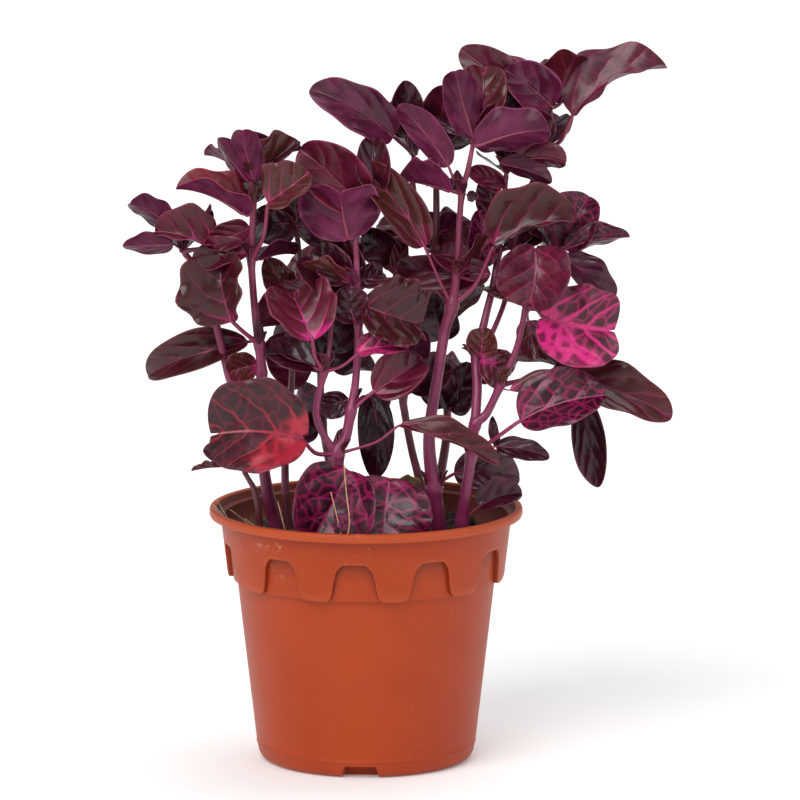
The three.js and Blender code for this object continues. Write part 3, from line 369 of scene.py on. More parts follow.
# ------------------------------------------------------------ what each look of a leaf is made of
def look(base, blotch, vein, ribs, net, flush, roughness, lean=0.0, cells=0.0):
    """The blade's two colours and the colour of its ribs, and how strongly the rest of it shows.

    ribs, net and flush are for the ribs, the net of small veins and the bright base of the blade. lean moves
    the bright part to one side of the midrib, and cells darkens the middles of the net's cells within it.
    """
    return dict(base=base, blotch=blotch, vein=vein, ribs=ribs, net=net, flush=flush,
                roughness=roughness, lean=lean, cells=cells)


LEAF_LOOKS = {
    "dark": look((48, 11, 20), (72, 15, 35), (120, 36, 72), 0.10, 0.0, 0.10, 0.24),
    "wine": look((70, 13, 29), (94, 18, 44), (168, 38, 92), 0.18, 0.0, 0.26, 0.28),
    "crimson": look((92, 14, 26), (116, 18, 38), (160, 42, 76), 0.30, 0.0, 0.2, 0.32),
    "bronze": look((62, 20, 21), (78, 17, 29), (190, 40, 116), 0.20, 0.0, 0.26, 0.23),
    "olive": look((74, 34, 26), (84, 24, 33), (196, 48, 118), 0.28, 0.0, 0.30, 0.28),
    "veined": look((44, 10, 23), (64, 13, 35), (160, 28, 92), 0.6, 0.5, 0.22, 0.28),
    "netted": look((90, 26, 44), (70, 18, 36), (170, 44, 100), 0.36, 0.15, 0.20, 0.26),
    "blush": look((86, 28, 38), (104, 28, 50), (210, 50, 134), 0.3, 0.0, 0.52, 0.30),
    "pink": look((64, 14, 30), (92, 17, 46), (216, 48, 128), 0.9, 0.35, 1.0, 0.34, -0.75, 0.75),
    "coral": look((50, 15, 24), (66, 15, 32), (176, 38, 58), 0.5, 0.15, 0.8, 0.27, 0.55, 0.45),
    "plum": look((70, 18, 42), (96, 27, 62), (124, 44, 84), 0.3, 0.0, 0.1, 0.28),
    "dry": look((84, 66, 40), (108, 84, 50), (80, 50, 34), 0.5, 0.2, 0.0, 0.7),
    "underside": look((78, 19, 48), (102, 30, 68), (134, 52, 92), 0.26, 0.0, 0.12, 0.38),
}
LEAF_SLOTS = {
    "stem": "magenta_stem",
    "brown_stem": "brown_stem",
    "dark": "dark_leaf",
    "wine": "wine_leaf",
    "plum": "plum_leaf",
    "veined": "veined_leaf",
    "pink": "pink_leaf",
    "coral": "coral_leaf",
    "olive": "olive_leaf",
}
STRONG_STEMS = ("stem_left", "stem_front", "stem_main", "stem_right")
VEIN_PAIRS = 3.2  # ribs on each side of the midrib, per length of a blade
VEIN_SWEEP = 0.62  # how far a rib has run towards the tip when it reaches the margin
NET_CELLS = (5.0, 6.5, 1.0)  # cells of the net across and along a blade
VEIN_STAGGER = 0.07  # how far the ribs of one side are out of step with the other's


# ------------------------------------------------------------ settings shown in the sidebar
class BloodleafPotSettings(bpy.types.PropertyGroup):
    plastic_colour: bpy.props.FloatVectorProperty(
        name="Plastic colour", description="Colour of the moulded pot", subtype="COLOR",
        size=4, default=srgb(164, 57, 12), min=0, max=1,
    )
    dust_colour: bpy.props.FloatVectorProperty(
        name="Dust colour", description="Colour of the dried scale on the collar", subtype="COLOR",
        size=4, default=srgb(214, 176, 150), min=0, max=1,
    )
    dust: bpy.props.FloatProperty(
        name="Dust", description="How much scale and dust lies on the pot", subtype="FACTOR",
        default=0.35, min=0, max=1,
    )
    roughness: bpy.props.FloatProperty(
        name="Roughness", description="Roughness of the plastic", subtype="FACTOR",
        default=0.46, min=0, max=1,
    )
    soil_colour: bpy.props.FloatVectorProperty(
        name="Soil colour", description="Colour of the moist peat", subtype="COLOR",
        size=4, default=srgb(52, 34, 26), min=0, max=1,
    )
    crumbs: bpy.props.IntProperty(
        name="Crumbs", description="Lumps lying on the soil", default=420, min=0, max=1500,
    )


class BloodleafPlantSettings(bpy.types.PropertyGroup):
    thickness: bpy.props.FloatProperty(
        name="Blade thickness", description="Thickness of a leaf's blade", unit="LENGTH",
        default=0.00035, min=0.0001, max=0.001, precision=5,
    )
    quilting: bpy.props.FloatProperty(
        name="Quilting", description="Height of the bulges between ribs, as a share of the blade's width",
        default=0.017, min=0, max=0.1,
    )
    waving: bpy.props.FloatProperty(
        name="Waving", description="How far the margins wave, as a share of the blade's width",
        default=0.045, min=0, max=0.2,
    )
    growth: bpy.props.FloatProperty(
        name="Growth", description="Size of a grown blade, against the size in its entry",
        default=1.13, min=0.5, max=2,
    )
    young_growth: bpy.props.FloatProperty(
        name="Young growth", description="Size of a young blade, against the size in its entry",
        default=1.42, min=0.5, max=2,
    )
    fillers: bpy.props.IntProperty(
        name="Fillers", description="Leaves that stand behind those of a joint", default=2, min=0, max=6,
    )
    magenta: bpy.props.FloatVectorProperty(
        name="Magenta stem", description="Colour of the strong stems", subtype="COLOR",
        size=4, default=srgb(128, 36, 82), min=0, max=1,
    )
    brown: bpy.props.FloatVectorProperty(
        name="Brown stem", description="Colour of the thin stems", subtype="COLOR",
        size=4, default=srgb(98, 38, 52), min=0, max=1,
    )


class BloodleafStageSettings(bpy.types.PropertyGroup):
    floor_size: bpy.props.FloatProperty(
        name="Floor size", description="Side of the pale floor", unit="LENGTH",
        default=30.0, min=1, max=100,
    )
    floor_colour: bpy.props.FloatVectorProperty(
        name="Floor colour", description="Colour of the floor", subtype="COLOR",
        size=4, default=(0.9, 0.9, 0.9, 1), min=0, max=1,
    )
    camera_distance: bpy.props.FloatProperty(
        name="Camera distance", description="From the camera to the point it looks at", unit="LENGTH",
        default=2.5, min=0.5, max=10,
    )
    camera_elevation: bpy.props.FloatProperty(
        name="Camera elevation", description="How far the camera looks down", subtype="ANGLE",
        default=math.radians(9.75), min=0, max=math.radians(80),
    )
    lens: bpy.props.FloatProperty(
        name="Lens", description="Focal length", unit="CAMERA", default=294.4, min=20, max=600,
    )


# ------------------------------------------------------------ mesh helpers
def start_clean():
    """Leaves edit mode and deselects everything."""
    if bpy.context.mode != "OBJECT":
        bpy.ops.object.mode_set(mode="OBJECT")
    bpy.ops.object.select_all(action="DESELECT")


def make_active(*objects):
    """Selects these objects alone; the first is active."""
    start_clean()
    for obj in objects:
        obj.select_set(True)
    bpy.context.view_layer.objects.active = objects[0]


def vertex_array(mesh):
    values = np.empty(len(mesh.vertices) * 3)
    mesh.vertices.foreach_get("co", values)
    return values.reshape(-1, 3)


def move_vertices(mesh, places):
    mesh.vertices.foreach_set("co", np.asarray(places, float).ravel())
    mesh.update()


def add_point_values(mesh, name, values):
    """Stores one number for each vertex under this attribute name."""
    attribute = mesh.attributes.get(name) or mesh.attributes.new(name, "FLOAT", "POINT")
    attribute.data.foreach_set("value", np.asarray(values, np.float32))


def settle(piece, slot_name, *nodes):
    """Places a finished piece on the frame, in the stead of these nodes."""
    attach(piece, "root")
    if nodes:
        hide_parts(*nodes)


def tubes(name, runs, resolution=3):
    """Round tapering tubes as one mesh. Each run is (points in metres, radii in metres)."""
    start_clean()
    curve = bpy.data.curves.new(name, "CURVE")
    curve.dimensions = "3D"
    curve.bevel_depth = MM
    curve.bevel_resolution = resolution
    curve.use_fill_caps = True
    for points, radii in runs:
        spline = curve.splines.new("POLY")
        spline.points.add(len(points) - 1)
        spline.points.foreach_set("co", np.c_[points, np.ones(len(points))].ravel())
        spline.points.foreach_set("radius", np.asarray(radii, float) / MM)
    piece = bpy.data.objects.new(name, curve)
    bpy.context.scene.collection.objects.link(piece)
    make_active(piece)
    bpy.ops.object.convert(target="MESH")
    bpy.ops.object.shade_smooth()
    return bpy.context.view_layer.objects.active


def smooth_line(points, spacing):
    """Even steps along a smooth curve through rows of numbers, whose first three are the place."""
    rows = np.asarray(points, float)
    rows = np.vstack([2 * rows[0] - rows[1], rows, 2 * rows[-1] - rows[-2]])
    out = []
    for i in range(1, len(rows) - 2):
        a, b, c, d = rows[i - 1 : i + 3]
        steps = max(2, int(round(np.linalg.norm((c - b)[:3]) / spacing)))
        for t in np.arange(steps) / steps:
            out.append(
                0.5 * (2 * b + (c - a) * t + (2 * a - 5 * b + 4 * c - d) * t**2
                       + (3 * b - a - 3 * c + d) * t**3)
            )
    out.append(rows[-2])
    return np.array(out)


def from_axis(points):
    """Places given in mm from the pot's axis, in metres in the frame."""
    return np.asarray(points, float) * MM + np.array(AXIS)


# ------------------------------------------------------------ material helpers
def new_material(name):
    """A new material, its node tree and its Principled BSDF."""
    material = bpy.data.materials.new(name)
    material.use_nodes = True
    tree = material.node_tree
    return material, tree, tree.nodes["Principled BSDF"]


def feed(tree, socket, value):
    """Links a socket to another one, or gives it a value."""
    if isinstance(value, bpy.types.NodeSocket):
        tree.links.new(value, socket)
    else:
        socket.default_value = value


def node(tree, kind, inputs=None, **settings):
    """Adds a node with its settings, and feeds its inputs."""
    made = tree.nodes.new(kind)
    for key, value in settings.items():
        setattr(made, key, value)
    for key, value in (inputs or {}).items():
        feed(tree, made.inputs[key], value)
    return made


def math_node(tree, operation, *values, clamp=False):
    """The result of a sum of one to three values."""
    made = node(tree, "ShaderNodeMath", dict(enumerate(values)), operation=operation, use_clamp=clamp)
    return made.outputs[0]


def product(tree, first, second):
    return math_node(tree, "MULTIPLY", first, second)


def smooth_range(tree, value, low, high, to_low=0.0, to_high=1.0):
    """Moves a value softly from to_low to to_high while it goes from low to high."""
    made = node(
        tree, "ShaderNodeMapRange",
        {"Value": value, "From Min": low, "From Max": high, "To Min": to_low, "To Max": to_high},
        interpolation_type="SMOOTHSTEP",
    )
    return made.outputs["Result"]


def mixed(tree, factor, first, second, blend="MIX"):
    """A colour mix; each colour is a socket or a value."""
    made = node(tree, "ShaderNodeMix", data_type="RGBA", blend_type=blend)
    for index, value in ((0, factor), (6, first), (7, second)):
        feed(tree, made.inputs[index], value)
    return made.outputs[2]


def group_tree(name, inputs, outputs):
    """A shader node group with these sockets: each is (name, socket type, default or None)."""
    tree = bpy.data.node_groups.new(name, "ShaderNodeTree")
    for direction, sockets in (("INPUT", inputs), ("OUTPUT", outputs)):
        for socket_name, kind, default in sockets:
            socket = tree.interface.new_socket(socket_name, in_out=direction, socket_type=kind)
            if default is not None:
                socket.default_value = default
    return tree, tree.nodes.new("NodeGroupInput").outputs, tree.nodes.new("NodeGroupOutput").inputs


def leaf_veins_group():
    """Masks that follow a blade: its midrib and ribs, the fine net between, and the bulges' height."""
    tree, given, result = group_tree(
        "Leaf Veins",
        [("Pattern", "NodeSocketVector", None), ("Place", "NodeSocketVector", None),
         ("Rib Width", "NodeSocketFloat", 0.05)],
        [("Ribs", "NodeSocketFloat", None), ("Net", "NodeSocketFloat", None),
         ("Cells", "NodeSocketFloat", None), ("Height", "NodeSocketFloat", None),
         ("Along", "NodeSocketFloat", None), ("Across", "NodeSocketFloat", None),
         ("Signed", "NodeSocketFloat", None)],
    )
    links = tree.links
    wander = node(tree, "ShaderNodeTexNoise", {"Vector": given["Place"], "Scale": 120.0, "Detail": 2.0})
    split = node(tree, "ShaderNodeSeparateXYZ", {"Vector": given["Pattern"]}).outputs
    signed = product(tree, math_node(tree, "SUBTRACT", split["X"], 0.5), 2.0)
    side = math_node(tree, "ABSOLUTE", signed)
    drift = product(tree, math_node(tree, "SUBTRACT", wander.outputs["Fac"], 0.5), 0.16)
    along = math_node(tree, "ADD", split["Y"], drift)
    bent = product(tree, math_node(tree, "MULTIPLY_ADD", side, 0.45, 0.55), side)
    one_side = product(tree, math_node(tree, "GREATER_THAN", signed, 0.0), VEIN_STAGGER)
    swept = math_node(tree, "MULTIPLY_ADD", bent, -VEIN_SWEEP, along)
    phase = math_node(tree, "ADD", product(tree, swept, VEIN_PAIRS), one_side)
    distance = math_node(tree, "PINGPONG", phase, 0.5)
    fading = product(tree, given["Rib Width"], math_node(tree, "MULTIPLY_ADD", side, -1.0, 1.7))
    lateral = smooth_range(tree, distance, 0.0, product(tree, fading, 2.4), 1.0, 0.0)
    midrib = smooth_range(tree, side, product(tree, given["Rib Width"], 0.3),
                          product(tree, given["Rib Width"], 1.5), 1.0, 0.0)
    links.new(math_node(tree, "MAXIMUM", lateral, midrib), result["Ribs"])
    strayed = node(tree, "ShaderNodeVectorMath", {0: given["Pattern"]}, operation="ADD")
    astray = node(tree, "ShaderNodeCombineXYZ", {"X": drift, "Y": drift})
    links.new(astray.outputs["Vector"], strayed.inputs[1])
    stretched = node(tree, "ShaderNodeMapping", {"Vector": strayed.outputs["Vector"], "Scale": NET_CELLS})
    cells = node(tree, "ShaderNodeTexVoronoi", {"Vector": stretched.outputs["Vector"], "Scale": 1.0},
                 voronoi_dimensions="2D", feature="DISTANCE_TO_EDGE")
    links.new(smooth_range(tree, cells.outputs["Distance"], 0.0, 0.17, 1.0, 0.0), result["Net"])
    links.new(smooth_range(tree, cells.outputs["Distance"], 0.10, 0.30), result["Cells"])
    from_top = math_node(tree, "SUBTRACT", 1.0, product(tree, distance, 2.0))
    dome = math_node(tree, "SUBTRACT", 1.0, math_node(tree, "POWER", from_top, 2.0))
    valley = smooth_range(tree, side, 0.0, 0.10)
    small = product(tree, smooth_range(tree, cells.outputs["Distance"], 0.0, 0.35), 0.14)
    puckers = product(tree, wander.outputs["Fac"], 0.5)
    raised = math_node(tree, "ADD", math_node(tree, "ADD", dome, small), puckers)
    links.new(product(tree, raised, valley), result["Height"])
    links.new(signed, result["Signed"])
    links.new(along, result["Along"])
    links.new(side, result["Across"])
    return tree


def speckle_group():
    """Scattered marks of several sizes, for scale, dust and grit."""
    tree, given, result = group_tree(
        "Speckle",
        [("Place", "NodeSocketVector", None), ("Scale", "NodeSocketFloat", 200.0),
         ("Amount", "NodeSocketFloat", 0.3)],
        [("Mask", "NodeSocketFloat", None), ("Grain", "NodeSocketFloat", None)],
    )
    coarse = node(tree, "ShaderNodeTexNoise",
                  {"Vector": given["Place"], "Scale": product(tree, given["Scale"], 0.12),
                   "Detail": 3.0, "Roughness": 0.6})
    fine = node(tree, "ShaderNodeTexNoise",
                {"Vector": given["Place"], "Scale": given["Scale"], "Detail": 5.0, "Roughness": 0.7})
    both = product(tree, coarse.outputs["Fac"], fine.outputs["Fac"])
    low = math_node(tree, "MULTIPLY_ADD", given["Amount"], -0.22, 0.42)
    high = math_node(tree, "ADD", low, 0.10)
    tree.links.new(smooth_range(tree, both, low, high), result["Mask"])
    tree.links.new(fine.outputs["Fac"], result["Grain"])
    return tree


def group_node(tree, group, inputs):
    made = node(tree, "ShaderNodeGroup", node_tree=group)
    for key, value in inputs.items():
        feed(tree, made.inputs[key], value)
    return made.outputs


def object_place(tree):
    return tree.nodes.new("ShaderNodeTexCoord").outputs["Object"]


def add_bump(tree, shader, height, distance, strength=1.0):
    bump = node(tree, "ShaderNodeBump", {"Height": height, "Distance": distance, "Strength": strength})
    tree.links.new(bump.outputs["Normal"], shader.inputs["Normal"])


def leaf_material(look, veins):
    """One side of a leaf, after its entry in LEAF_LOOKS."""
    facts = LEAF_LOOKS[look]
    below = look == "underside"
    material, tree, shader = new_material("leaf_" + look)
    place = object_place(tree)
    pattern = node(tree, "ShaderNodeUVMap", uv_map="Blade").outputs["UV"]
    wide = 0.06 if facts["ribs"] >= 0.75 else 0.028
    masks = group_node(tree, veins, {"Pattern": pattern, "Place": place, "Rib Width": wide})
    own = node(tree, "ShaderNodeAttribute", attribute_name="shade").outputs["Fac"]
    patches = node(tree, "ShaderNodeTexNoise",
                   {"Vector": place, "Scale": 95.0, "Detail": 3.0, "Roughness": 0.6})
    blotch = smooth_range(tree, patches.outputs["Fac"], 0.40, 0.66)
    colour = mixed(tree, blotch, srgb(*facts["base"]), srgb(*facts["blotch"]))
    net = product(tree, masks["Net"], facts["net"])
    colour = mixed(tree, net, colour, srgb(*facts["vein"]))
    # the bright part of a blade spreads from its base, further along the ribs than between them
    reach = math_node(tree, "MULTIPLY_ADD", masks["Ribs"], 0.35, 0.10 + 0.5 * facts["flush"])
    away = math_node(tree, "ADD", masks["Along"], product(tree, masks["Across"], 0.35))
    away = math_node(tree, "MULTIPLY_ADD", masks["Signed"], facts["lean"], away)
    uneven = math_node(tree, "SUBTRACT", patches.outputs["Fac"], 0.5)
    ragged = math_node(tree, "MULTIPLY_ADD", uneven, 0.9, away)
    start = math_node(tree, "SUBTRACT", reach, 0.28)
    glow = smooth_range(tree, ragged, start, reach, 1.0, 0.0)
    glow = product(tree, glow, min(1.0, 0.35 + facts["flush"]) * min(1.0, facts["flush"] * 2.2))
    open_cells = math_node(tree, "MULTIPLY_ADD", masks["Cells"], -facts["cells"], 1.0)
    glow = product(tree, glow, open_cells)
    colour = mixed(tree, glow, colour, srgb(*facts["vein"]))
    fade = smooth_range(tree, masks["Across"], 0.45, 1.05, 1.0, 0.35)
    ribs = product(tree, product(tree, masks["Ribs"], fade), facts["ribs"])
    colour = mixed(tree, ribs, colour, srgb(*facts["vein"]))
    # painted rim light: a lighter line along the blade's margin
    painted_rim_light = node(tree, "ShaderNodeAttribute", attribute_name="margin").outputs["Fac"]
    painted_rim_light = smooth_range(tree, painted_rim_light, 0.90, 0.99, 0.0, 0.55)
    colour = mixed(tree, painted_rim_light, colour, srgb(*(min(255, round(1.25 * c + 22)) for c in facts["blotch"])))
    lighter = mixed(tree, 1.0, colour, (1.3, 1.25, 1.28, 1), "MULTIPLY")
    darker = mixed(tree, 1.0, colour, (0.62, 0.58, 0.62, 1), "MULTIPLY")
    tone = mixed(tree, math_node(tree, "MULTIPLY_ADD", own, 0.5, 0.5, clamp=True), darker, lighter)
    tree.links.new(tone, shader.inputs["Base Color"])
    rough = facts["roughness"]
    worn = smooth_range(tree, patches.outputs["Fac"], 0.3, 0.75, rough - 0.05, rough + 0.14)
    tree.links.new(worn, shader.inputs["Roughness"])
    shader.inputs["Specular IOR Level"].default_value = 0.25 if below else 0.40
    add_bump(tree, shader, masks["Height"], -0.0003 if below else 0.0005, 0.35 if below else 0.5)
    return material


def stem_material(name, colour, top_colour):
    """Juicy skin that turns browner towards the top, with darker joints and fine lengthwise streaks."""
    material, tree, shader = new_material(name)
    place = object_place(tree)
    split = node(tree, "ShaderNodeSeparateXYZ", {"Vector": place}).outputs
    squeezed = node(tree, "ShaderNodeMapping", {"Vector": place, "Scale": (900.0, 900.0, 60.0)})
    streaks = node(tree, "ShaderNodeTexNoise",
                   {"Vector": squeezed.outputs["Vector"], "Scale": 1.0, "Detail": 3.0})
    patches = node(tree, "ShaderNodeTexNoise", {"Vector": place, "Scale": 70.0, "Detail": 3.0})
    top = CAD_BOX[1][2]
    risen = smooth_range(tree, split["Z"], 0.45 * top, 0.95 * top)
    base = mixed(tree, risen, colour, top_colour)
    streaked = smooth_range(tree, streaks.outputs["Fac"], 0.35, 0.75, 0.0, 0.55)
    base = mixed(tree, streaked, base, srgb(96, 28, 52))
    patched = smooth_range(tree, patches.outputs["Fac"], 0.5, 0.75, 0.0, 0.5)
    base = mixed(tree, patched, base, srgb(160, 70, 108))
    joint = node(tree, "ShaderNodeAttribute", attribute_name="joint").outputs["Fac"]
    base = mixed(tree, product(tree, joint, 0.65), base, srgb(92, 30, 44))
    tree.links.new(base, shader.inputs["Base Color"])
    shader.inputs["Roughness"].default_value = 0.36
    shader.inputs["Specular IOR Level"].default_value = 0.5
    add_bump(tree, shader, streaks.outputs["Fac"], 0.0003, 0.5)
    return material


def pot_material(settings, speckle):
    """Satin moulded plastic: slight mottling, fine scratches, dried scale under the lip and on the collar."""
    material, tree, shader = new_material("terracotta_plastic")
    place = object_place(tree)
    split = node(tree, "ShaderNodeSeparateXYZ", {"Vector": place}).outputs
    mottle = node(tree, "ShaderNodeTexNoise",
                  {"Vector": place, "Scale": 22.0, "Detail": 4.0, "Roughness": 0.55})
    deeper = mixed(tree, 1.0, settings.plastic_colour, (0.90, 0.85, 0.82, 1), "MULTIPLY")
    colour = mixed(tree, smooth_range(tree, mottle.outputs["Fac"], 0.3, 0.7), settings.plastic_colour, deeper)
    upright = node(tree, "ShaderNodeMapping", {"Vector": place, "Scale": (420.0, 420.0, 16.0)})
    runs = node(tree, "ShaderNodeTexNoise",
                {"Vector": upright.outputs["Vector"], "Scale": 1.0, "Detail": 2.0})
    marks = group_node(tree, speckle, {"Place": place, "Scale": 520.0, "Amount": settings.dust})
    high = smooth_range(tree, split["Z"], 0.066, 0.092)
    veil = product(tree, marks["Mask"], math_node(tree, "MULTIPLY_ADD", high, 0.34, 0.05))
    drips = product(tree, smooth_range(tree, runs.outputs["Fac"], 0.66, 0.82, 0.0, 0.04), high)
    colour = mixed(tree, math_node(tree, "ADD", veil, drips, clamp=True), colour, settings.dust_colour)
    # painted highlight: lighter orange on the lip's rounded top and the collar's lower edge, where light catches them
    edge = node(tree, "ShaderNodeAttribute", attribute_name="edge").outputs["Fac"]
    colour = mixed(tree, product(tree, edge, 0.16), colour, srgb(222, 112, 64))
    # painted shade: dark red-brown inside the pot and under the collar at the top of each window
    inside = node(tree, "ShaderNodeAttribute", attribute_name="inside").outputs["Fac"]
    colour = mixed(tree, product(tree, inside, 0.72), colour, srgb(74, 26, 16))
    tree.links.new(colour, shader.inputs["Base Color"])
    rough = math_node(tree, "MULTIPLY_ADD", mottle.outputs["Fac"], 0.16, settings.roughness - 0.08)
    rough = math_node(tree, "MULTIPLY_ADD", marks["Mask"], 0.2, rough)
    tree.links.new(rough, shader.inputs["Roughness"])
    shader.inputs["Specular IOR Level"].default_value = 0.3
    add_bump(tree, shader, marks["Grain"], 0.00012, 0.45)
    return material


def soil_material(settings, speckle):
    material, tree, shader = new_material("potting_soil")
    place = object_place(tree)
    marks = group_node(tree, speckle, {"Place": place, "Scale": 900.0, "Amount": 0.9})
    lumps = node(tree, "ShaderNodeTexVoronoi", {"Vector": place, "Scale": 420.0})
    colour = mixed(tree, smooth_range(tree, marks["Grain"], 0.3, 0.7), settings.soil_colour, srgb(28, 18, 14))
    colour = mixed(tree, product(tree, marks["Mask"], 0.4), colour, srgb(112, 84, 60))
    tree.links.new(colour, shader.inputs["Base Color"])
    shader.inputs["Roughness"].default_value = 0.9
    add_bump(tree, shader, math_node(tree, "ADD", marks["Grain"], lumps.outputs["Distance"]), 0.0012, 0.9)
    return material


def fibre_material(name, colour, roughness=0.7):
    material, tree, shader = new_material(name)
    place = object_place(tree)
    noise = node(tree, "ShaderNodeTexNoise", {"Vector": place, "Scale": 260.0, "Detail": 2.0})
    dark = mixed(tree, 1.0, colour, (0.55, 0.5, 0.45, 1), "MULTIPLY")
    tree.links.new(mixed(tree, smooth_range(tree, noise.outputs["Fac"], 0.4, 0.7), colour, dark),
                   shader.inputs["Base Color"])
    shader.inputs["Roughness"].default_value = roughness
    return material


# ------------------------------------------------------------ pot and soil
POT_SIDES = 360
COLLAR_FOOT = 0.0705  # height where the body goes in under the collar
WINDOW_CENTRES = (-77, -37, -4.5, 28, 62, 98, 135, 172, 209, 246)  # degrees from the front
WINDOW_EDGE = (  # degrees from a window's middle, height of the collar's lower edge there, mm
    (0, 85.2), (4.6, 85.1), (5.3, 84.7), (7.0, 82.8), (7.7, 81.5), (8.3, 79.0),
    (9.0, 75.0), (9.7, 72.4), (10.5, 71.3), (11.4, 70.75), (12.8, 70.5),
)
NOTCH_CENTRES = (-3, 117, 237)
NOTCH_EDGE = ((0, 4.9), (7.6, 4.9), (8.6, 4.5), (10.2, 0.3), (10.8, 0.0))
COLLAR_FLARE = ((COLLAR_FOOT, 0.094), (0.0529, 0.0557))  # heights, and the collar's radius there
SKIRT_TOP = 0.0936
EDGE_ROUNDING = 0.0003  # round the collar's lower edge
PANEL_DEPTH = 0.0020  # how far the windows' panels lie behind the collar's face
DRAINS, DRAIN_CIRCLE, DRAIN_RADIUS = 6, 0.021, 0.004
SOIL_TOP, SOIL_RADIUS, SOIL_DOME = 0.0875, 0.0478, 0.0012
FOOT_ROWS = 9  # rows of the profile that a foot notch lifts
POT_PROFILE = (  # radius and height in mm: up the outside, over the lip, down the inside, across the floor
    (34.0, 0.0), (36.6, 0.0), (38.6, 0.25), (39.9, 0.9), (40.8, 1.9), (41.4, 3.2), (41.75, 4.9),
    (41.95, 6.2), (42.25, 6.5), (42.1, 6.8), (42.4, 9.0), (43.9, 22.0), (45.4, 35.0), (46.9, 48.0),
    (48.4, 61.0), (49.3, 69.0), (49.45, 70.2), (49.6, 70.45), (50.6, 70.5),
    ("panel", 0.0), ("panel", 0.5), ("panel", 0.97), ("ledge", 0.0), ("ledge", 0.25),
    ("ledge", 0.75), ("ledge", 1.0), ("skirt", 0.04), ("skirt", 0.12), ("skirt", 0.35), ("skirt", 0.65),
    ("skirt", 1.0), (56.3, 94.0), (58.9, 94.3), (59.7, 94.7), (60.0, 95.4), (60.0, 97.0),
    (59.75, 97.7), (59.1, 98.0), (57.9, 98.0), (57.4, 97.7), (57.15, 97.0), (56.2, 95.2),
    (54.3, 94.6), (53.5, 90.0), (51.6, 87.0), (48.5, 85.0), (48.3, 70.5), (46.2, 48.0), (43.0, 18.0),
    (41.0, 9.5), (39.4, 7.0), (37.5, 6.6), (20.0, 6.6), (0.5, 6.6), (0.5, 5.2), (20.0, 5.2), (33.2, 5.2), (34.0, 4.9),
)


# rows of POT_PROFILE that the material finds by an attribute, and how strongly
# painted highlight: a lighter orange on the lip's rounded top and on the collar's lower edge
HIGHLIGHT_ROWS = ((range(33, 40), 1.0), (range(25, 27), 0.55))
# painted shade: dark red-brown on the inner wall, the floor and the top of the windows' recesses
SHADED_ROWS = ((range(40, 56), 1.0), (range(21, 25), 0.6))


def angle_apart(angles, centre):
    return np.abs((angles - centre + 180) % 360 - 180)


def row_value(row, table):
    """The value of a row in one of the tables above, for every side of the pot."""
    return np.full(POT_SIDES, next((value for rows, value in table if row in rows), 0.0))


def edge_height(angles, centres, edge):
    """Height of a scalloped edge in metres at these angles, in degrees from the front."""
    nearest = np.min([angle_apart(angles, centre) for centre in centres], axis=0)
    away, heights = np.array(edge).T
    return np.interp(nearest, away, heights) * MM


def collar_radius(height):
    return np.interp(height, *COLLAR_FLARE)


def pot_row(entry, angles, hem):
    """Radius and height at every angle for one row of the pot's profile."""
    kind, share = entry
    if kind == "panel":
        height = COLLAR_FOOT + share * (hem - COLLAR_FOOT)
        return collar_radius(height) - PANEL_DEPTH, height
    if kind == "ledge":
        panel = collar_radius(hem) - PANEL_DEPTH
        radius = panel + share * (PANEL_DEPTH - EDGE_ROUNDING)
        return radius, hem - EDGE_ROUNDING / 3 * np.sin(math.pi * share)
    if kind == "skirt":
        height = hem + EDGE_ROUNDING + share * (SKIRT_TOP - hem)
        return collar_radius(height), height
    return np.full(len(angles), kind * MM), np.full(len(angles), share * MM)


def extrude_ring(scale, rise):
    """Extrudes the selected edge loop, scaled about the pot's axis and raised."""
    bpy.ops.mesh.extrude_edges_move(TRANSFORM_OT_translate={"value": (0, 0, rise)})
    bpy.ops.transform.resize(value=(scale, scale, 1), center_override=AXIS)


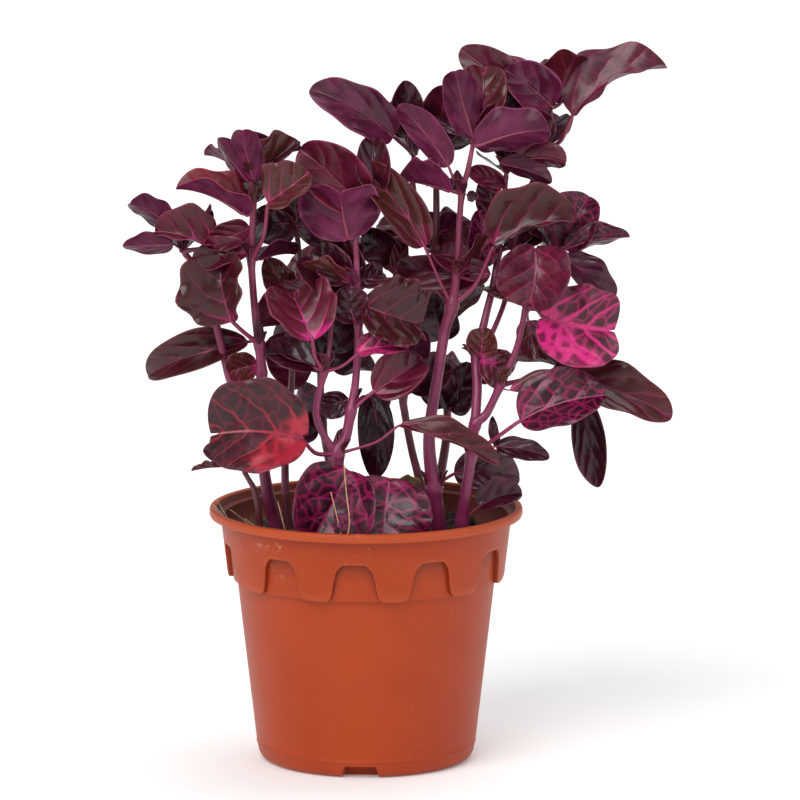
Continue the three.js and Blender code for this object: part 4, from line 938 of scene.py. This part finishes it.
class BLOODLEAF_OT_make_pot(bpy.types.Operator):
    """The moulded pot: foot ring with notches, tapering body, castellated collar and rolled lip"""

    bl_idname = "bloodleaf.make_pot"
    bl_label = "Make Pot"

    def execute(self, context):
        start_clean()
        first, *rest = POT_PROFILE
        bpy.ops.mesh.primitive_circle_add(vertices=POT_SIDES, radius=first[0] * MM, location=AXIS)
        pot = context.active_object
        pot.name = "nursery_pot"
        bpy.ops.object.transform_apply(location=True)
        bpy.ops.object.mode_set(mode="EDIT")
        bpy.ops.mesh.select_all(action="SELECT")
        for _ in rest:
            extrude_ring(0.999, 0.0001)
        bpy.ops.object.mode_set(mode="OBJECT")
        places = vertex_array(pot.data).reshape(len(POT_PROFILE), POT_SIDES, 3)
        from_centre = places[0] - np.array(AXIS)
        turn = np.arctan2(from_centre[:, 0], -from_centre[:, 1])
        angles = np.degrees(turn)
        hem = edge_height(angles, WINDOW_CENTRES, WINDOW_EDGE)
        notch = edge_height(angles, NOTCH_CENTRES, NOTCH_EDGE)
        lip, within = [], []
        for i, entry in enumerate(POT_PROFILE):
            radius, height = pot_row(entry, angles, hem)
            if i < FOOT_ROWS or i == len(POT_PROFILE) - 1:
                height = np.maximum(height, notch)
            places[i] = np.c_[AXIS.x + radius * np.sin(turn), AXIS.y - radius * np.cos(turn), height]
            lip.append(row_value(i, HIGHLIGHT_ROWS))
            within.append(row_value(i, SHADED_ROWS))
        move_vertices(pot.data, places.reshape(-1, 3))
        # edge marks the rows of the painted highlight
        add_point_values(pot.data, "edge", np.concatenate(lip))
        # inside marks the rows of the painted shade
        add_point_values(pot.data, "inside", np.concatenate(within))
        bpy.ops.object.mode_set(mode="EDIT")
        bpy.ops.mesh.select_all(action="SELECT")
        bpy.ops.mesh.remove_doubles(threshold=0.00002)
        bpy.ops.mesh.select_all(action="DESELECT")
        # joins the profile's last row to its first, under the foot ring, and closes the floor's middle
        bpy.ops.mesh.select_non_manifold(extend=False)
        bpy.ops.mesh.bridge_edge_loops()
        bpy.ops.mesh.select_all(action="SELECT")
        bpy.ops.mesh.normals_make_consistent(inside=False)
        bpy.ops.object.mode_set(mode="OBJECT")
        self.drill_floor(context, pot)
        make_active(pot)
        bpy.ops.object.shade_smooth_by_angle(angle=math.radians(38))
        plastic = pot_material(context.scene.bloodleaf_pot, bpy.data.node_groups["Speckle"])
        pot.data.materials.append(plastic)
        settle(pot, "terracotta_plastic", "pot", "pot_floor")
        return {"FINISHED"}

    def drill_floor(self, context, pot):
        """Drainage holes through the floor."""
        for i in range(DRAINS):
            angle = 2 * math.pi * (i + 0.5) / DRAINS
            place = AXIS + Vector((DRAIN_CIRCLE * math.cos(angle), DRAIN_CIRCLE * math.sin(angle), 0.006))
            start_clean()
            bpy.ops.mesh.primitive_cylinder_add(vertices=32, radius=DRAIN_RADIUS, depth=0.006, location=place)
            drill = context.active_object
            make_active(pot)
            cut = pot.modifiers.new("Drill", "BOOLEAN")
            cut.object = drill
            cut.operation = "DIFFERENCE"
            cut.solver = "EXACT"
            bpy.ops.object.modifier_apply(modifier=cut.name)
            bpy.data.objects.remove(drill)


class BLOODLEAF_OT_fill_soil(bpy.types.Operator):
    """Moist peat inside the pot, slightly domed and rough, with crumbs lying on it"""

    bl_idname = "bloodleaf.fill_soil"
    bl_label = "Fill Soil"

    def execute(self, context):
        settings = context.scene.bloodleaf_pot
        random = np.random.default_rng(SEED)
        start_clean()
        bpy.ops.mesh.primitive_circle_add(vertices=96, radius=SOIL_RADIUS, fill_type="NGON",
                                          location=AXIS + Vector((0, 0, SOIL_TOP)))
        soil = context.active_object
        soil.name = "soil_bed"
        bpy.ops.object.transform_apply(location=True)
        bpy.ops.object.mode_set(mode="EDIT")
        bpy.ops.mesh.select_all(action="SELECT")
        for _ in range(26):
            bpy.ops.mesh.inset(thickness=0.0018)
        bpy.ops.object.mode_set(mode="OBJECT")
        places = vertex_array(soil.data)
        out = np.linalg.norm(places[:, :2] - np.array(AXIS)[:2], axis=1) / SOIL_RADIUS
        bumps = sum(
            np.sin(places[:, 0] * a + p) * np.sin(places[:, 1] * b + q) * h
            for a, b, p, q, h in zip(random.uniform(150, 900, 9), random.uniform(150, 900, 9),
                                     random.uniform(0, 6, 9), random.uniform(0, 6, 9),
                                     (0.0011, 0.0009, 0.0007, 0.0006, 0.0005, 0.0004, 0.0004, 0.0003, 0.0003))
        )
        places[:, 2] += SOIL_DOME * (1 - out**2) + bumps * (1 - 0.6 * out**4)
        move_vertices(soil.data, places)
        bpy.ops.object.mode_set(mode="EDIT")
        bpy.ops.mesh.select_all(action="DESELECT")
        bpy.ops.mesh.select_non_manifold(extend=False)
        bpy.ops.mesh.extrude_edges_move(TRANSFORM_OT_translate={"value": (0, 0, -0.012)})
        bpy.ops.transform.resize(value=(0.985, 0.985, 1), center_override=AXIS)
        bpy.ops.mesh.edge_face_add()
        bpy.ops.mesh.select_all(action="SELECT")
        bpy.ops.mesh.normals_make_consistent(inside=False)
        bpy.ops.object.mode_set(mode="OBJECT")
        crumbs = self.scatter_crumbs(context, random, settings.crumbs)
        make_active(soil, crumbs)
        bpy.ops.object.join()
        bpy.ops.object.shade_smooth_by_angle(angle=math.radians(50))
        soil.data.materials.append(soil_material(settings, bpy.data.node_groups["Speckle"]))
        settle(soil, "potting_soil", "soil")
        return {"FINISHED"}

    def scatter_crumbs(self, context, random, count):
        """Lumps of peat, each an uneven little stone of its own size."""
        made = []
        start_clean()
        bpy.ops.mesh.primitive_ico_sphere_add(subdivisions=1, radius=1)
        pattern = context.active_object
        base = vertex_array(pattern.data)
        for _ in range(count):
            away, turn = 0.0465 * math.sqrt(random.random()), random.uniform(0, 2 * math.pi)
            size = random.choice((0.0005, 0.0007, 0.0009, 0.0013, 0.0018), p=(0.3, 0.3, 0.2, 0.14, 0.06))
            crumb = pattern.copy()
            crumb.data = pattern.data.copy()
            context.scene.collection.objects.link(crumb)
            lump = base * random.uniform(0.7, 1.3, (len(base), 1)) * size * random.uniform(0.6, 1.3, 3)
            top = SOIL_TOP + SOIL_DOME * (1 - (away / SOIL_RADIUS) ** 2)
            place = (AXIS.x + away * math.cos(turn), AXIS.y + away * math.sin(turn), top + 0.4 * size)
            move_vertices(crumb.data, lump + np.array(place))
            made.append(crumb)
        bpy.data.objects.remove(pattern)
        make_active(*made)
        bpy.ops.object.join()
        return context.active_object


# ------------------------------------------------------------ stems
def joints_on(stem):
    """Places of the leaf joints on a stem, in mm from the pot's axis."""
    return [np.array(group[1], float) for group in LEAVES.values() if group[0] == stem]


class BLOODLEAF_OT_grow_stems(bpy.types.Operator):
    """The ten stems, round and tapering, swollen at the joints that carry leaves"""

    bl_idname = "bloodleaf.grow_stems"
    bl_label = "Grow Stems"

    def execute(self, context):
        settings = context.scene.bloodleaf_plant
        kinds = {
            "magenta_stem": stem_material("magenta_stem", settings.magenta, srgb(116, 42, 62)),
            "brown_stem": stem_material("brown_stem", settings.brown, srgb(88, 46, 38)),
        }
        for name, branches in STEMS.items():
            joints = joints_on(name)
            joints += [np.array(branch[0][:3], float) for branch in branches[1:]]
            runs = []
            for branch in branches:
                line = smooth_line(branch, 1.6)
                swell = self.swelling(line[:, :3], joints)
                radii = line[:, 3] * (1 + 0.30 * swell)
                radii[-1] *= 0.6
                runs.append((from_axis(line[:, :3]), radii * MM))
            stem = tubes("grown_" + name, runs)
            places = (vertex_array(stem.data) - np.array(AXIS)) / MM
            add_point_values(stem.data, "joint", self.swelling(places, joints, 1.8))
            kind = "magenta_stem" if name in STRONG_STEMS else "brown_stem"
            stem.data.materials.append(kinds[kind])
            settle(stem, kind, name)
        return {"FINISHED"}

    def swelling(self, places, joints, reach=2.2):
        """From 0 to 1 near a joint, for each place in mm."""
        out = np.zeros(len(places))
        for joint in joints:
            away = np.linalg.norm(places - joint, axis=1)
            out = np.maximum(out, np.exp(-((away / reach) ** 2)))
        return out


# ------------------------------------------------------------ leaves
ACROSS, ALONG = 20, 34  # cells of a blade's grid
FILLED_FROM = 135  # mm; only joints above this height have fillers
SMALL_BLADE = 17  # mm; a blade shorter than this is a young one


def unit(vector):
    return np.asarray(vector, float) / np.linalg.norm(vector)


def outline(shape, along):
    """Half width of a blade at each place along it, from 0 to 1."""
    rise, fall = {"pointed": (0.44, 0.56), "round": (0.44, 0.40), "narrow": (0.62, 0.66)}[shape]
    along = np.clip(along, 0, 1)
    peak = rise / (rise + fall)
    top = peak**rise * (1 - peak) ** fall
    return along**rise * (1 - along) ** fall / top


def centre_line(leaf, joint, knot):
    """A blade's middle line, its ways and upper sides along it, and the points of its stalk, in mm."""
    foot, tip = np.array(leaf["foot"], float), np.array(leaf["tip"], float)
    run = tip - foot
    length = np.linalg.norm(run)
    face = np.array(leaf["face"], float)
    up = unit(face - run * (face @ run) / length**2)
    middle = (foot + tip) / 2 + up * 2 * leaf["bow"] * length
    t = np.linspace(0, 1, 41)[:, None]
    line = (1 - t) ** 2 * foot + 2 * t * (1 - t) * middle + t**2 * tip
    line -= up * leaf["curl"] * length * t**3
    sway = unit(np.cross(run, up))
    line += sway * leaf["sway"] * length * np.sin(math.pi * t)
    ways = np.gradient(line, axis=0)
    ways /= np.linalg.norm(ways, axis=1)[:, None]
    ups = up - ways * (ways @ up)[:, None]
    ups /= np.linalg.norm(ups, axis=1)[:, None]
    turn = leaf["twist"] * (t - 0.4)
    ups = ups * np.cos(turn) + np.cross(ways, ups) * np.sin(turn)
    joint = np.array(joint, float)
    if leaf["via"]:
        halfway = np.array(leaf["via"], float)
    else:
        halfway = joint + 0.55 * (foot - joint) - 0.04 * run
    root = joint + 0.35 * knot * unit(halfway - joint)
    return line, ways, ups, [root, halfway, foot]


def blade_places(leaf, line, ways, ups, s, v, quilting, waving):
    """Where each vertex of a blade goes, in mm. s runs across from -1 to 1, v along from 0 to 1."""
    half = leaf["width"] / 2
    length = np.linalg.norm(line[-1] - line[0])
    shape = leaf["shape"]
    reach = np.maximum(outline(shape, v), 0.045) * (1 + leaf["lopsided"] * s * np.sin(math.pi * v))
    fold = math.radians(leaf["fold"])
    aside = np.abs(s)
    x = s * reach * half * math.cos(fold)
    rise = reach * half * math.sin(fold) * (np.sqrt(s**2 + 0.03) - math.sqrt(0.03))
    rise += leaf["cup"] * half * reach * s**2
    rise -= 0.10 * half * reach * aside**5
    spread = aside * reach
    phase = (v - VEIN_SWEEP * spread * (0.55 + 0.45 * spread)) * VEIN_PAIRS
    phase += VEIN_STAGGER * (s > 0)
    swell = 1 - (1 - 2 * np.abs(phase - np.round(phase))) ** 2
    rise += quilting * leaf["width"] * swell * np.clip(1 - aside**4, 0, 1) * (
        np.sin(math.pi * v) ** 0.5 * np.clip(aside * 4, 0, 1))
    waves = np.sin(2 * math.pi * (leaf["waves"] * v + leaf["phase"] + 0.31 * np.sign(s)))
    calm_ends = np.sin(math.pi * np.clip(v, 0, 1)) ** 0.6
    rise += waving * leaf["wavy"] * leaf["width"] * waves * aside**2.5 * calm_ends
    shift = -leaf["notch"] * length * np.exp(-((s / 0.42) ** 2)) * np.clip((v - 0.55) / 0.45, 0, 1) ** 2
    shift -= leaf["lobes"] * length * aside**1.4 * (1 - v) ** 5
    at = np.clip(v, 0, 1) * (len(line) - 1)
    centre, way, up = (
        np.stack([np.interp(at, range(len(rows)), rows[:, k]) for k in range(3)], axis=1)
        for rows in (line, ways, ups)
    )
    across = np.cross(way, up)
    return centre + across * x[:, None] + up * rise[:, None] + way * shift[:, None]


class BLOODLEAF_OT_grow_leaves(bpy.types.Operator):
    """Every group of leaves: quilted, folded and waved blades on stalks that run on as midribs"""

    bl_idname = "bloodleaf.grow_leaves"
    bl_label = "Grow Leaves"

    def execute(self, context):
        veins = bpy.data.node_groups["Leaf Veins"]
        materials = {look: leaf_material(look, veins) for look in LEAF_LOOKS}
        plant = context.scene.bloodleaf_plant
        stalk = stem_material("leaf_stalk", srgb(140, 38, 84), srgb(122, 42, 64))
        pattern = self.make_pattern(context, ACROSS, ALONG)
        leaflet_pattern = self.make_pattern(context, 6, 8)
        for number, (name, group) in enumerate(LEAVES.items()):
            random = np.random.default_rng(SEED * 1000 + number)
            self.grow_group(context, name, group, pattern, leaflet_pattern, random, plant, materials, stalk)
        bpy.data.objects.remove(pattern)
        bpy.data.objects.remove(leaflet_pattern)
        return {"FINISHED"}

    def make_pattern(self, context, across, along):
        """A flat square of cells that every blade starts from; cells are finer towards its ends."""
        start_clean()
        bpy.ops.mesh.primitive_grid_add(x_subdivisions=across, y_subdivisions=along, size=2)
        pattern = context.active_object
        pattern.name = "blade_pattern"
        pattern.data.uv_layers[0].name = "Blade"
        places = vertex_array(pattern.data)
        places[:, 1] = (1 - np.cos(math.pi * (places[:, 1] + 1) / 2)) / 2
        places[:, 0] = np.sin(places[:, 0] * 0.45 * math.pi) / math.sin(0.45 * math.pi)
        move_vertices(pattern.data, places)
        return pattern

    def complete(self, leaf, random, plant):
        """Fills in what a leaf's entry leaves open: small chances of growth."""
        round_leaf = leaf["round"]
        slender = leaf["width"] < 0.42 * math.dist(leaf["foot"], leaf["tip"])
        chances = dict(
            shape="round" if round_leaf else "narrow" if slender else "pointed",
            curl=random.uniform(-0.06, 0.30), sway=random.uniform(-0.06, 0.06),
            twist=random.uniform(-0.45, 0.45), cup=random.uniform(0.10, 0.62),
            lopsided=random.uniform(-0.08, 0.08), waves=random.uniform(1.6, 2.8),
            phase=random.random(), wavy=random.uniform(0.8, 2.0),
            notch=random.uniform(0.06, 0.12) if round_leaf else 0.0,
            lobes=random.uniform(0.02, 0.08) if round_leaf else 0.0,
            shade=random.uniform(-0.6, 0.6),
        )
        full = {**chances, **leaf}
        foot, tip = np.array(full["foot"], float), np.array(full["tip"], float)
        growth = plant.young_growth if math.dist(foot, tip) < SMALL_BLADE else plant.growth
        full["foot"] = foot - 0.4 * (growth - 1) * (tip - foot)
        full["tip"] = tip + 0.5 * (growth - 1) * (tip - foot)
        full["width"] = growth * full["width"]
        full["fold"] = full["fold"] + random.uniform(0, 14)
        return full

    def leaflets(self, joint, knot, random):
        """Young leaflets that stand close round a joint, in the crooks of the stalks."""
        for _ in range(3 if knot >= 1.6 else 0):
            turn = random.uniform(0, 2 * math.pi)
            aside = np.array((math.cos(turn), math.sin(turn), 0.0))
            length, lean = random.uniform(3.5, 7.5), random.uniform(0.25, 0.8)
            foot = np.array(joint, float) + aside * 0.8 * knot + (0, 0, 0.4 * knot)
            tip = foot + (aside * lean + (0, 0, 1)) * length / math.hypot(lean, 1)
            face = (0, 0, 1) - aside
            yield blade(foot, tip, length * random.uniform(0.35, 0.5), face,
                        random.choice(("olive", "dark", "dark", "wine")), fold=25)

    def grown(self, leaves, joint, knot, random, plant):
        """A joint's leaves from the list, and then the fillers, drawn before any leaf takes its chances."""
        return [*leaves, *self.fillers(joint, knot, random, plant.fillers)]

    def fillers(self, joint, knot, random, count):
        """Grown leaves behind a joint, that fill the crown between the leaves of the list."""
        for _ in range(count if 1.6 <= knot <= 2.6 and joint[2] > FILLED_FROM else 0):
            turn = random.uniform(0.05, 0.95) * math.pi
            aside = np.array((math.cos(turn), math.sin(turn), 0.0))
            length, lift = random.uniform(15, 21), random.uniform(-0.05, 0.6)
            way = (aside + (0, 0, lift)) / math.hypot(lift, 1)
            foot = np.array(joint, float) + way * 5
            face = (0.25 * random.uniform(-1, 1), random.choice((-0.9, -0.6, 0.5)), 0.8)
            yield blade(foot, foot + way * length, length * random.uniform(0.62, 0.85), face,
                        random.choice(("dark", "wine", "plum", "bronze", "dark")), fold=16)

    def grow_group(self, context, name, group, pattern, leaflet_pattern, random, plant, materials, stalk):
        stem, joint, knot, finish, leaves = group
        blades, runs = [], []
        for kept, entries in ((pattern, self.grown(leaves, joint, knot, random, plant)),
                              (leaflet_pattern, self.leaflets(joint, knot, random))):
            for entry in entries:
                leaf = self.complete(entry, random, plant)
                line, ways, ups, stalk_points = centre_line(leaf, joint, knot)
                blade = kept.copy()
                blade.data = kept.data.copy()
                context.scene.collection.objects.link(blade)
                self.shape_blade(blade, leaf, line, ways, ups, plant)
                self.add_looks(blade, leaf["look"], materials)
                blades.append(blade)
                if kept == pattern:
                    runs.append(self.stalk_run(leaf, line, ups, stalk_points))
        make_active(*blades)
        if len(blades) > 1:
            bpy.ops.object.join()
        piece = context.active_object
        thicken = piece.modifiers.new("Blade", "SOLIDIFY")
        thicken.thickness = plant.thickness
        thicken.offset = -1
        thicken.material_offset = 1
        bpy.ops.object.modifier_apply(modifier=thicken.name)
        stalks = tubes("stalks", runs, 2)
        stalks.data.materials.append(stalk)
        make_active(piece, stalks)
        bpy.ops.object.join()
        bpy.ops.object.shade_smooth()
        piece.name = "grown_" + name
        settle(piece, LEAF_SLOTS[finish], name)

    def shape_blade(self, blade, leaf, line, ways, ups, plant):
        mesh = blade.data
        flat = vertex_array(mesh)
        s, v = flat[:, 0], flat[:, 1]
        places = blade_places(leaf, line, ways, ups, s, v, plant.quilting, plant.waving)
        move_vertices(mesh, from_axis(places))
        width = np.maximum(outline(leaf["shape"], v), 0.045)
        loops = np.empty(len(mesh.loops), int)
        mesh.loops.foreach_get("vertex_index", loops)
        mesh.uv_layers["Blade"].data.foreach_set("uv", np.c_[0.5 + 0.5 * s * width, v][loops].ravel())
        add_point_values(mesh, "shade", np.full(len(v), leaf["shade"]))
        # margin tells the material where to paint the rim light along the blade's edge, tip and base
        add_point_values(mesh, "margin", np.maximum(np.abs(s), np.abs(2 * v - 1) ** 6))

    def add_looks(self, blade, look, materials):
        """Upper look in the first slot, underside in the next, which Solidify's offset reaches."""
        blade.data.materials.append(materials[look])
        blade.data.materials.append(materials["underside"])

    def stalk_run(self, leaf, line, ups, stalk_points):
        """A stalk that runs on as the midrib under the blade, thinning to its tip."""
        root, halfway, foot = stalk_points
        lead = smooth_line([root, halfway, foot, line[4]], 1.6)
        lead = lead[: -max(1, len(lead) // 6)]
        size = np.clip(leaf["width"] / 22, 0.35, 1.0)
        under = np.linspace(0.62 * size, 0.2, len(line))[:, None]
        rib = (line - ups * under)[3:38]
        points = np.vstack([lead, rib])
        keep = np.r_[True, np.linalg.norm(np.diff(points, axis=0), axis=1) > 0.25]
        points = points[keep]
        share = np.linspace(0, 1, len(points))
        radii = np.interp(share, (0, 0.06, 0.35, 0.5, 1), (1.25, 0.85, 0.72, 0.5, 0.12)) * size
        return from_axis(points), np.maximum(radii, 0.1) * MM


# ------------------------------------------------------------ fibres on the soil
STRANDS = (  # pale dry strands: places in mm from the pot's axis, and their thickness
    (((-8, -46, 122), (-7.2, -47, 112), (-6, -49, 101), (-7.5, -52, 94), (-10, -50, 90)), 0.26),
    (((-13, -47, 112), (-11, -48, 104), (-9, -50, 96), (-7, -49, 89)), 0.2),
    (((-33, -44, 108), (-31, -45, 100), (-29, -46, 93), (-27, -44, 88)), 0.22),
    (((-46, -22, 97), (-38, -33, 94), (-28, -42, 91), (-18, -46, 88)), 0.18),
    (((-52, -8, 98), (-45, -20, 95), (-38, -28, 90), (-33, -33, 87.5)), 0.16),
)
WHITE_HAIRS = (
    ((-50, -18, 92), (-57, -20, 101), (-66, -20, 108), (-71, -18, 106)),
    ((-50, -16, 92), (-58, -17, 100), (-68, -16, 103), (-72, -14, 99)),
    ((-49, -20, 91), (-55, -24, 102), (-60, -26, 111), (-68, -24, 113)),
)


class BLOODLEAF_OT_lay_fibres(bpy.types.Operator):
    """Pale dry strands, brown rootlets on the left of the soil and a few white hairs over the lip"""

    bl_idname = "bloodleaf.lay_fibres"
    bl_label = "Lay Fibres"

    def execute(self, context):
        random = np.random.default_rng(SEED + 5)
        runs = []
        for points, radius in STRANDS:
            line = from_axis(smooth_line(points, 1.5))
            runs.append((line, np.full(len(line), radius * MM)))
        strands = tubes("pale_strands", runs, 1)
        strands.data.materials.append(fibre_material("dry_strand", srgb(190, 152, 112)))
        settle(strands, "potting_soil")
        runs = []
        for _ in range(120):
            turn = math.radians(random.normal(235, 38))
            away = random.uniform(24, 45)
            start = np.array((away * math.cos(turn), away * math.sin(turn), 87.5))
            way = np.array((random.normal(), random.normal(), random.uniform(0.1, 1.0)))
            size = random.uniform(4, 12)
            points = [start, start + way * size * 0.4, start + way * size * (0.7, 0.7, 0.55),
                      start + way * size * (1, 1, random.uniform(0.0, 0.8))]
            points = self.keep_inside(np.array(points))
            line = from_axis(smooth_line(points, 2.0))
            runs.append((line, np.linspace(0.16, 0.07, len(line)) * MM))
        rootlets = tubes("rootlets", runs, 1)
        rootlets.data.materials.append(fibre_material("rootlet", srgb(140, 96, 60)))
        settle(rootlets, "potting_soil")
        runs = []
        for points in WHITE_HAIRS:
            line = from_axis(smooth_line(points, 2.0))
            runs.append((line, np.linspace(0.10, 0.05, len(line)) * MM))
        hairs = tubes("white_hairs", runs, 1)
        hairs.data.materials.append(fibre_material("white_hair", srgb(226, 222, 214)))
        settle(hairs, "potting_soil")
        return {"FINISHED"}

    def keep_inside(self, points):
        """Draws points back within the pot's wall."""
        away = np.linalg.norm(points[:, :2], axis=1)
        points[:, :2] *= np.minimum(1, 47 / away)[:, None]
        points[:, 2] = np.maximum(points[:, 2], 87.2)
        return points


# ------------------------------------------------------------ stage
AIM = Vector((0.013, 0, 0.139))  # what the camera looks at, from the pot's axis
LIGHTS = (  # name, the way it comes from, softness in degrees, strength, colour
    ("key", (-0.75, -1.3, 1.25), 45, 2.1, (1, 0.985, 0.965)),
    ("fill", (1.3, -0.9, 0.5), 60, 0.6, (0.97, 0.985, 1)),
    ("top", (0.3, 0.5, 1.5), 50, 1.0, (1, 1, 1)),
)


class BLOODLEAF_OT_set_stage(bpy.types.Operator):
    """Pale floor, soft lights and the camera"""

    bl_idname = "bloodleaf.set_stage"
    bl_label = "Set Stage"

    def execute(self, context):
        settings = context.scene.bloodleaf_stage
        start_clean()
        bpy.ops.mesh.primitive_plane_add(size=settings.floor_size, location=(0, 0, 0))
        floor = context.active_object
        floor.name = "floor"
        material, _, shader = new_material("pale_floor")
        shader.inputs["Base Color"].default_value = settings.floor_colour
        shader.inputs["Emission Color"].default_value = (1, 1, 1, 1)
        shader.inputs["Emission Strength"].default_value = 0.12
        shader.inputs["Roughness"].default_value = 0.9
        shader.inputs["Specular IOR Level"].default_value = 0.1
        floor.data.materials.append(material)
        self.light(context)
        self.place_camera(context, settings)
        return {"FINISHED"}

    def light(self, context):
        world = bpy.data.worlds.new("soft_surround")
        world.use_nodes = True
        tree = world.node_tree
        surround = tree.nodes["Background"]
        seen = tree.nodes.new("ShaderNodeLightPath").outputs["Is Camera Ray"]
        tree.links.new(math_node(tree, "MULTIPLY_ADD", seen, 0.60, 0.42), surround.inputs["Strength"])
        surround.inputs["Color"].default_value = (1, 1, 1, 1)
        context.scene.world = world
        context.scene.view_settings.view_transform = "Standard"
        for name, way, softness, strength, colour in LIGHTS:
            start_clean()
            turn = Vector(way).to_track_quat("Z", "Y").to_euler()
            bpy.ops.object.light_add(type="SUN", location=way, rotation=turn)
            lamp = context.active_object
            lamp.name = name + "_light"
            lamp.data.angle = math.radians(softness)
            lamp.data.energy = strength
            lamp.data.color = colour

    def place_camera(self, context, settings):
        start_clean()
        tilt = settings.camera_elevation
        aim = AXIS + AIM
        back = Vector((0, -math.cos(tilt), math.sin(tilt)))
        bpy.ops.object.camera_add(location=aim + settings.camera_distance * back,
                                  rotation=(math.pi / 2 - tilt, 0, 0))
        camera = context.active_object
        camera.name = "camera"
        camera.data.sensor_width = 36
        camera.data.lens = settings.lens
        camera.data.clip_end = 100
        context.scene.camera = camera


# ------------------------------------------------------------ sidebar and registration
class BLOODLEAF_PT_sidebar(bpy.types.Panel):
    """Sizes, colours and the steps that build the plant"""

    bl_label = "Potted Bloodleaf"
    bl_idname = "BLOODLEAF_PT_sidebar"
    bl_space_type = "VIEW_3D"
    bl_region_type = "UI"
    bl_category = "Bloodleaf"

    def draw(self, context):
        layout = self.layout
        scene = context.scene
        for settings in (scene.bloodleaf_pot, scene.bloodleaf_plant, scene.bloodleaf_stage):
            box = layout.box()
            for name in settings.__annotations__:
                box.prop(settings, name)
        for operator in OPERATORS:
            layout.operator(operator.bl_idname)


SETTINGS = (BloodleafPotSettings, BloodleafPlantSettings, BloodleafStageSettings)
OPERATORS = (
    BLOODLEAF_OT_set_stage,
    BLOODLEAF_OT_make_pot,
    BLOODLEAF_OT_fill_soil,
    BLOODLEAF_OT_grow_stems,
    BLOODLEAF_OT_grow_leaves,
    BLOODLEAF_OT_lay_fibres,
)
CLASSES = (*SETTINGS, *OPERATORS, BLOODLEAF_PT_sidebar)


def register():
    for cls in CLASSES:
        bpy.utils.register_class(cls)
    bpy.types.Scene.bloodleaf_pot = bpy.props.PointerProperty(type=BloodleafPotSettings)
    bpy.types.Scene.bloodleaf_plant = bpy.props.PointerProperty(type=BloodleafPlantSettings)
    bpy.types.Scene.bloodleaf_stage = bpy.props.PointerProperty(type=BloodleafStageSettings)


def unregister():
    del bpy.types.Scene.bloodleaf_stage
    del bpy.types.Scene.bloodleaf_plant
    del bpy.types.Scene.bloodleaf_pot
    for cls in reversed(CLASSES):
        bpy.utils.unregister_class(cls)


def main():
    register()
    leaf_veins_group()
    speckle_group()
    bpy.ops.bloodleaf.set_stage()
    bpy.ops.bloodleaf.make_pot()
    bpy.ops.bloodleaf.fill_soil()
    bpy.ops.bloodleaf.grow_stems()
    bpy.ops.bloodleaf.grow_leaves()
    bpy.ops.bloodleaf.lay_fibres()


if __name__ == "__main__":
    main()
